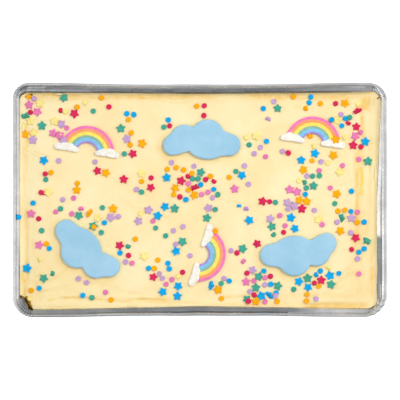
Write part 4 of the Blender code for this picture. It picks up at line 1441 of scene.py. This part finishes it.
def cream_frosting(material):
    bm = bmesh.new()
    bmesh.ops.create_grid(bm, x_segments=GRID_ACROSS, y_segments=GRID_UP, size=1.0)
    floats = bm.verts.layers.float
    for name in FROSTING_LAYERS:
        floats.new(name)
    u_layer, v_layer, thin_and_shade_layer, dye_layer = (floats[name] for name in FROSTING_LAYERS)
    for vert in bm.verts:
        u, v = spaced(vert.co.x), spaced(vert.co.y)
        vert[u_layer], vert[v_layer] = u, v
        x, y = slab_point(u, v, FROSTING_TOP, FROSTING_SHOULDER)
        height, fine = cream_height(x, y)
        uneven = 1 + CLIMB_UNEVENNESS * noise.noise(Vector((x * CLIMB_SCALE, y * CLIMB_SCALE, 7.0)))
        height = min(height + uneven * climb(u, v), LEDGE_HEIGHT)
        vert.co = (*slab_point(u, v, max(height, FROSTING_TOP), FROSTING_SHOULDER), height)
        # How dark the frosting is here: thin along the streaks, some of which are the walls' painted shadow,
        # plus shade painted in the hollows and a shadow painted beside the clouds
        thin_and_shade = streaked(x, y, STREAKS) + max(0.0, -fine) * HOLLOW_PAINTED_SHADE + PAINTED_SHADOW_STRENGTH * painted_cloud_shadow(x, y)
        vert[thin_and_shade_layer] = min(1.0, thin_and_shade)
        vert[dye_layer] = streaked(x, y, YELLOW_STREAKS)
    rim = [edge for edge in bm.edges if edge.is_boundary]
    for depth, inset in SKIRT:
        fresh, rim = grow_ring(bm, rim)
        for vert in fresh:
            height = SPONGE_TOP + GAP if depth is None else vert.co.z - depth * FROSTING_SHOULDER * SKIRT_DROP
            place = slab_point(vert[u_layer], vert[v_layer], height, inset * FROSTING_SHOULDER)
            vert.co = (*place, height)
    bmesh.ops.contextual_create(bm, geom=rim)
    face_outwards(bm)
    cream = add_piece("spread_frosting", bm, [material], smooth_degrees=70)
    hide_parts("frosting")


# Sprinkles


def fallen_spot(draw, placed, pinch, reach):
    """A free spot near the pinch's middle, or else one on top of the sprinkles that already lie there."""
    across, up, spread = (value * MM for value in pinch[:3])
    best, best_room = None, -1.0
    for attempt in range(TRIES):
        angle = draw.uniform(0, math.tau)
        far = spread * (1 + WIDENING * attempt / TRIES) * math.sqrt(draw.random())
        x = across + far * math.cos(angle)
        y = up + far * math.sin(angle)
        if past_edge(x, y, reach + WALL_CLEARANCE) or over_topping(x, y, reach):
            continue
        rooms = [math.hypot(x - other.x, y - other.y) - SPRINKLE_REACH[other.kind] for other in placed]
        if all(room > reach for room in rooms):
            return x, y, False
        raised_rooms = [room for room, other in zip(rooms, placed) if other.raised]
        room = min(raised_rooms, default=1.0)
        if room > best_room:
            best, best_room = (x, y), room
    return (*best, True) if best else None


def scatter():
    """Every star and dot where it fell, pinch by pinch."""
    draw = random.Random(SEED)
    placed = []
    for pinch in PINCHES:
        wanted = [("star", hue) for hue in pinch[3].split()]
        wanted += [("dot", hue) for hue in pinch[4].split()]
        for kind, hue in wanted:
            spot = fallen_spot(draw, placed, pinch, SPRINKLE_REACH[kind])
            turn = draw.uniform(0, math.tau)
            steep = draw.random() < STEEP_SHARE
            lean = draw.uniform(*STEEP_LEAN) if steep else draw.gauss(0, SMALL_LEAN)
            lean_turn = draw.uniform(0, math.tau)
            if spot:
                x, y, raised = spot
                placed.append(Sprinkle(kind, hue, x, y, turn, math.radians(lean), lean_turn, raised))
    return placed


def leaning_place(x, y, height, lean, lean_turn, turn):
    """A turn and a move to this point, leaning towards one side."""
    axis = Vector((math.cos(lean_turn), math.sin(lean_turn), 0.0))
    leaning = Matrix.Rotation(lean, 4, axis) @ Matrix.Rotation(turn, 4, "Z")
    return Matrix.Translation((x, y, height)) @ leaning


def sprinkle_place(sprinkle):
    """Where a sprinkle lies, leaning a little, or standing steeply in the frosting."""
    radius = STAR_RADIUS if sprinkle.kind == "star" else DOT_RADIUS
    lift = STEEP_LIFT * radius * max(0.0, abs(math.sin(sprinkle.lean)) - STEEP_FROM)
    lift += RAISED_LIFT if sprinkle.raised else 0.0
    height = frosting_height(sprinkle.x, sprinkle.y) - SPRINKLE_SUNK + lift
    return leaning_place(sprinkle.x, sprinkle.y, height, sprinkle.lean, sprinkle.lean_turn, sprinkle.turn)


def soften(bm, geom, offset, affect):
    bmesh.ops.bevel(bm, geom=geom, offset=offset, affect=affect, segments=1, profile=0.5, material=-1)


def highest_face(bm):
    return max(bm.faces, key=lambda face: face.calc_center_median().z)


def sprinkle_shape(kind):
    """One sprinkle as a mesh to repeat: rounded points or a round disc, soft edges and a dimple on top."""
    bm = bmesh.new()
    if kind == "star":
        bmesh.ops.create_circle(bm, cap_ends=True, radius=STAR_CUT * STAR_RADIUS, segments=2 * STAR_POINTS)
        for vert in list(bm.verts)[1::2]:
            vert.co *= STAR_WAIST
        soften(bm, list(bm.verts)[0::2], STAR_TIP, "VERTICES")
    else:
        bmesh.ops.create_circle(bm, cap_ends=True, radius=DOT_RADIUS, segments=DOT_SIDES)
    raised = bmesh.ops.extrude_face_region(bm, geom=bm.faces[:])["geom"]
    top = [item for item in raised if isinstance(item, bmesh.types.BMVert)]
    bmesh.ops.translate(bm, verts=top, vec=(0, 0, SPRINKLE_THICKNESS + SPRINKLE_SUNK))
    face_outwards(bm)
    soften(bm, list(highest_face(bm).edges), SPRINKLE_EDGE, "EDGES")
    bmesh.ops.poke(bm, faces=[highest_face(bm)], offset=-DIMPLE_DEPTH)
    return as_mesh(kind, bm)


def stray_place(stray):
    _, _, across, up, lift, lean, lean_turn = stray
    height = FROSTING_TOP - SPRINKLE_SUNK + lift * MM
    lean, lean_turn = math.radians(lean), math.radians(lean_turn)
    return leaning_place(across * MM, up * MM, height, lean, lean_turn, across + up)


def sprinkles(kind, materials):
    """All the stars, or all the dots, as one piece."""
    shape = sprinkle_shape(kind)
    draw = random.Random(SEED + len(kind))
    hues = list(HUES)
    places = [(item.hue, sprinkle_place(item)) for item in scatter() if item.kind == kind]
    places += [(stray[1], stray_place(stray)) for stray in STRAYS if stray[0] == kind]
    bm = bmesh.new()
    for hue, place in places:
        before_verts, before_faces = len(bm.verts), len(bm.faces)
        bm.from_mesh(shape)
        bm.verts.ensure_lookup_table()
        bm.faces.ensure_lookup_table()
        size = 1 + draw.uniform(-SIZE_SPREAD, SIZE_SPREAD)
        stretch = Matrix.Diagonal((size, size * (1 + draw.uniform(-SIZE_SPREAD, SIZE_SPREAD)), 1.0, 1.0))
        bmesh.ops.transform(bm, verts=bm.verts[before_verts:], matrix=place @ stretch)
        for face in bm.faces[before_faces:]:
            face.material_index = hues.index(hue)
    bpy.data.meshes.remove(shape)
    piece = add_piece("sugar_" + kind + "s", bm, materials, smooth_degrees=32)
    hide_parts("frosting")


# Toppings


def lobed_ring(lobes, sides, inset, height, floor, softness):
    """A ring round a lobed outline, cut straight along its foot where a floor is given."""
    ring = []
    for side in range(sides):
        angle = math.tau * side / sides
        reach = lobed_reach(angle, lobes, softness) - inset
        x, y = reach * math.cos(angle), reach * math.sin(angle)
        if floor is not None:
            y = max(y, inset - floor)
        ring.append(Vector((x, y, height)))
    return ring


def rounded_over(outline, thickness, rounding, steps=5):
    """Rings from the foot of a flat piece up its side and over its soft edge."""
    rings = [outline(UNDERCUT, 0.0), outline(0.0, UNDERCUT)]
    for step in range(steps + 1):
        angle = math.pi / 2 * step / steps
        inset = rounding * (1 - math.cos(angle))
        rings.append(outline(inset, thickness - rounding * OVAL_EDGE * (1 - math.sin(angle))))
    return rings


def topping_place(topping):
    return Matrix.Translation((0.0, 0.0, FROSTING_TOP + GAP)) @ place_of(topping)


def inner_rings(edge_ring, shares, rise):
    """Rings that close in on the middle, raised as the rise says."""
    middle = sum(edge_ring, Vector()) / len(edge_ring)
    rings = []
    for share in shares:
        ring = [middle.lerp(point, share) for point in edge_ring]
        for point in ring:
            point.z += rise(point, share)
        rings.append(ring)
    return rings


def fondant_cloud(topping, material):
    """A cloud cut from rolled fondant, its edge rounded over by the cutter and its top not quite flat."""
    place = topping_place(topping)

    def outline(inset, height):
        return lobed_ring(CLOUD_LOBES, CLOUD_SIDES, inset, height, None, NOTCH_SOFTNESS)

    def swell(point, share):
        spot = place @ point
        waviness = noise.noise(Vector((spot.x * CLOUD_SWELL_SCALE, spot.y * CLOUD_SWELL_SCALE, 1.0)))
        return (CLOUD_SWELL + CLOUD_SWELL * waviness) * MM * (1 - share**2)

    rings = rounded_over(outline, CLOUD_THICKNESS, CLOUD_ROUND)
    rings += inner_rings(rings[-1], CLOUD_RINGS, swell)
    bm = loft(rings)
    bmesh.ops.transform(bm, verts=bm.verts, matrix=place)
    face_outwards(bm)
    cloud = add_piece("fondant_" + topping[0], bm, [material], smooth_degrees=60)
    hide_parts(topping[0])


def band_edges():
    """The radii at which the arch's bands meet, from the inside out."""
    edges = [ARCH_INNER]
    for _, width, _ in BANDS:
        edges.append(edges[-1] + width)
    return edges


def arch_profile():
    """The arch's section: a low crown on each band, a fine groove between bands, and soft outer edges."""
    edges = band_edges()
    points = [(edges[0] + ARCH_CUT, 0.0), (edges[0], UNDERCUT)]
    for inner, outer in zip(edges, edges[1:]):
        for share, rise in CROWN:
            height = ARCH_THICKNESS + BAND_CROWN * (rise - CROWN_LEVEL)
            points.append((inner + share * (outer - inner), height))
    points += [(edges[-1], ARCH_SIDE * ARCH_THICKNESS), (edges[-1], UNDERCUT), (edges[-1] - ARCH_CUT, 0.0)]
    return points


def rainbow_arch():
    """The half ring of bands, spun from its section, with a material slot for each band."""
    bm = bmesh.new()
    section = [bm.verts.new((reach, 0.0, height)) for reach, height in arch_profile()]
    loop = [bm.edges.new((section[index - 1], section[index])) for index in range(len(section))]
    near_end = bmesh.ops.contextual_create(bm, geom=loop)["faces"]
    sweep = math.pi * ARCH_SHARE
    spun = bmesh.ops.spin(bm, geom=loop, axis=(0, 0, 1), angle=sweep, steps=ARCH_STEPS, use_merge=False)
    far_loop = [item for item in spun["geom_last"] if isinstance(item, bmesh.types.BMEdge)]
    bmesh.ops.contextual_create(bm, geom=far_loop)
    bmesh.ops.rotate(bm, verts=bm.verts, cent=(0, 0, 0), matrix=Matrix.Rotation(math.pi * ARCH_START, 3, "Z"))
    edges = band_edges()
    for face in bm.faces:
        middle = face.calc_center_median()
        reach = math.hypot(middle.x, middle.y)
        face.material_index = sum(reach > edge for edge in edges[1:-1])
    for face in near_end:
        face.material_index = len(BANDS) - 1
    return bm


def foot_height(point):
    """How high the puffs of a foot stand over its edge at this point."""
    best = 0.0
    for across, up, half_width, half_height in FOOT_LOBES:
        ratio = math.hypot((point.x / MM - across) / half_width, (point.y / MM - up) / half_height)
        best = max(best, math.sqrt(max(0.0, 1 - ratio**2)))
    return FOOT_DOME * best


def add_foot(bm, side):
    """One of the small white clouds that the arch stands in, as a puffed slab."""

    def outline(inset, height):
        return lobed_ring(FOOT_LOBES, FOOT_SIDES, inset, height, FOOT_DROP, FOOT_SOFTNESS)

    rings = rounded_over(outline, FOOT_THICKNESS, FOOT_ROUND, FOOT_ROUND_STEPS)
    rings += inner_rings(rings[-1], FOOT_RINGS, lambda point, share: foot_height(point))
    foot = loft(rings)
    face_outwards(foot)
    for face in foot.faces:
        face.material_index = len(BANDS)
    if side < 0:
        bmesh.ops.scale(foot, verts=foot.verts, vec=(-1, 1, 1))
        bmesh.ops.reverse_faces(foot, faces=foot.faces)
    bmesh.ops.translate(foot, verts=foot.verts, vec=(side * FOOT_MIDDLE[0], FOOT_MIDDLE[1], 0.0))
    mesh = as_mesh("foot", foot)
    bm.from_mesh(mesh)
    bpy.data.meshes.remove(mesh)


def sugar_rainbow(topping, materials):
    bm = rainbow_arch()
    face_outwards(bm)
    add_foot(bm, -1)
    add_foot(bm, 1)
    bmesh.ops.transform(bm, verts=bm.verts, matrix=topping_place(topping))
    rainbow = add_piece("sugar_" + topping[0], bm, materials, smooth_degrees=45)
    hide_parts(topping[0])


# Small things


def inside_corner(x, y, height, reach):
    """Moves a point in the corner at -X -Y to the inside of the foil that leans in there."""
    radius = wall_corners(height)[2]
    middle = corner_middle(2, wall_inset(height), wall_corners(height))
    middle += Vector(seen_push(middle.x - radius, middle.y - radius, height))
    spoke = Vector((x, y)) - middle
    if spoke.x < 0 and spoke.y < 0:
        degrees = math.degrees(math.atan2(-spoke.y, -spoke.x)) + 180
        spoke.length = min(spoke.length, radius - corner_lean((2, degrees, 0.0, 0.0), height) - reach)
    return middle + spoke


def crust_crumbs(material):
    """Lumps and crumbs of dark crust where the frosting stops short of the tray's corners."""
    draw = random.Random(SEED + 2)
    bm = bmesh.new()
    for from_x, from_y, to_x, to_y, spread, low, high, below, count in CRUST_LINES:
        for _ in range(count):
            size = draw.uniform(low, high)
            made = bmesh.ops.create_icosphere(bm, subdivisions=2, radius=size * MM)["verts"]
            share = draw.random()
            across = from_x + share * (to_x - from_x) + draw.gauss(0, spread / 2)
            up = from_y + share * (to_y - from_y) + draw.gauss(0, spread / 2)
            for vert in made:
                uneven = noise.noise(vert.co / MM * CRUMB_SCALE + Vector((across, up, 0.0)))
                vert.co *= 1 + CRUMB_UNEVENNESS * uneven
            height = FROSTING_TOP - (below + draw.uniform(0.0, CRUMB_DROP)) * MM
            place = inside_corner(across * MM, up * MM, height, CRUMB_SPARE * size * MM)
            bmesh.ops.translate(bm, verts=made, vec=(*place, height))
            for vert in made:
                vert.co.xy = inside_corner(*vert.co, CRUMB_ROOM)
    crumbs = add_piece("crust_crumbs", bm, [material], smooth_degrees=60)


def against_walls(x, y, height):
    """Moves a point that lies past a straight stretch of the tray's inner wall back to the wall."""
    push_x, push_y = seen_push(x, y, height)
    half_length = TRAY_LENGTH / 2 - wall_inset(height)
    half_width = TRAY_WIDTH / 2 - wall_inset(height)
    x = min(max(x, push_x - half_length), push_x + half_length)
    return x, min(max(y, push_y - half_width), push_y + half_width)


def frosting_smears(material):
    """Smears of frosting that the knife left on the tray's ledge and wall."""
    bm = bmesh.new()
    thin_and_shade_layer = bm.verts.layers.float.new("thin_and_shade")
    for across, up, half_length, half_width in SMEARS:
        made = bmesh.ops.create_icosphere(bm, subdivisions=4, radius=1.0)["verts"]
        for vert in made:
            x, y, z = vert.co
            lump = 1 + SMEAR_UNEVENNESS * noise.noise(Vector((x * SMEAR_SCALE + across, y * SMEAR_SCALE, z)))
            vert.co = Vector((x * half_length, y * half_width, z * SMEAR_THICKNESS)) * lump * MM
            vert[thin_and_shade_layer] = SMEAR_THIN
        bmesh.ops.translate(bm, verts=made, vec=Vector((across * MM, up * MM, SMEAR_HEIGHT)))
        for vert in made:
            vert.co.xy = against_walls(*vert.co)
    piece = add_piece("frosting_smears", bm, [material], smooth_degrees=60)


# Light, floor and camera


def soft_light(name, place, size, power, in_gloss):
    data = bpy.data.lights.new(name, "AREA")
    data.shape = "DISK"
    data.size = size
    data.energy = power
    lamp = bpy.data.objects.new(name, data)
    lamp.location = place
    lamp.rotation_euler = (-Vector(place)).to_track_quat("-Z", "Y").to_euler()
    lamp.visible_glossy = in_gloss
    bpy.context.scene.collection.objects.link(lamp)


def studio_world():
    """An even pale surround that is darker low down in front, as a studio is behind the camera's stand, and
    at the far side, and brighter at both ends."""
    world = bpy.data.worlds.new("studio")
    bpy.context.scene.world = world
    world.use_nodes = True
    tree = world.node_tree
    generated = node_of(tree, "ShaderNodeTexCoord").outputs["Generated"]
    way = node_of(tree, "ShaderNodeSeparateXYZ", Vector=generated).outputs
    ramp = node_of(tree, "ShaderNodeValToRGB", Fac=mapped(tree, way["Y"], -1.0, 1.0))
    stops = ramp.color_ramp.elements
    for index, (position, colour) in enumerate(SURROUND):
        stop = stops[index] if index < 2 else stops.new(position)
        stop.position = position
        stop.color = (*colour, 1)
    sides = mapped(tree, worked_out(tree, "ABSOLUTE", way["X"]), *BRIGHT_ENDS)
    brighter = worked_out(tree, "ADD", sides, 1.0)
    lit = node_of(tree, "ShaderNodeVectorMath", ramp.outputs["Color"], operation="SCALE", Scale=brighter)
    horizon = (HORIZON_LIGHT, HORIZON_LIGHT, HORIZON_LIGHT, 1)
    whole = mixed(tree, mapped(tree, way["Z"], 0.0, HORIZON_BAND), horizon, lit.outputs["Vector"])
    back = tree.nodes["Background"]
    feed(tree, back.inputs["Color"], whole)
    back.inputs["Strength"].default_value = SURROUND_STRENGTH


def pale_floor():
    colours = {"Base_Color": (0.93, 0.93, 0.93, 1), "Emission_Color": (1.0, 1.0, 1.0, 1)}
    material = new_material("pale_floor", Roughness=0.9, Emission_Strength=FLOOR_GLOW, **colours)[0]
    bm = bmesh.new()
    bmesh.ops.create_grid(bm, x_segments=1, y_segments=1, size=FLOOR_SIZE)
    mesh = as_mesh("floor", bm)
    mesh.materials.append(material)
    floor = bpy.data.objects.new("floor", mesh)
    bpy.context.scene.collection.objects.link(floor)
    floor.visible_glossy = False
    floor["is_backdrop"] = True


def overhead_camera():
    data = bpy.data.cameras.new("overhead")
    data.sensor_width = SENSOR
    data.lens = SENSOR * CAMERA_HEIGHT / FRAME_WIDTH
    camera = bpy.data.objects.new("overhead", data)
    camera.location = (0.0, 0.0, TRAY_HEIGHT + CAMERA_HEIGHT)
    bpy.context.scene.collection.objects.link(camera)
    bpy.context.scene.camera = camera


def studio():
    pale_floor()
    studio_world()
    for lamp in LAMPS:
        soft_light(*lamp)
    overhead_camera()
    bpy.context.scene.view_settings.view_transform = "Standard"


def dress():
    mottle = mottle_group()
    frosting_finish = frosting_material(mottle)
    crust = crust_material(mottle)
    fondant = fondant_material(mottle)
    sprinkle_sugars = [sugar_material("sugar_" + hue, colour, mottle) for hue, colour in HUES.items()]
    rainbow_sugars = [sugar_material("band_" + name, colour, mottle) for name, _, colour in BANDS]
    rainbow_sugars.append(sugar_material("white_sugar", WHITE_SUGAR, mottle))
    crinkled_tray(foil_material())
    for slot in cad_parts["sponge"].material_slots:
        slot.material = crust
    cream_frosting(frosting_finish)
    frosting_smears(frosting_finish)
    crust_crumbs(crust)
    sprinkles("star", sprinkle_sugars)
    sprinkles("dot", sprinkle_sugars)
    for topping in TOPPINGS:
        if topping[1] == "cloud":
            fondant_cloud(topping, fondant)
        else:
            sugar_rainbow(topping, rainbow_sugars)


dress()
studio()
boxes = {"cad": CAD_BOX, "visual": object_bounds()}
{name: [list(corner) for corner in box] for name, box in boxes.items()}
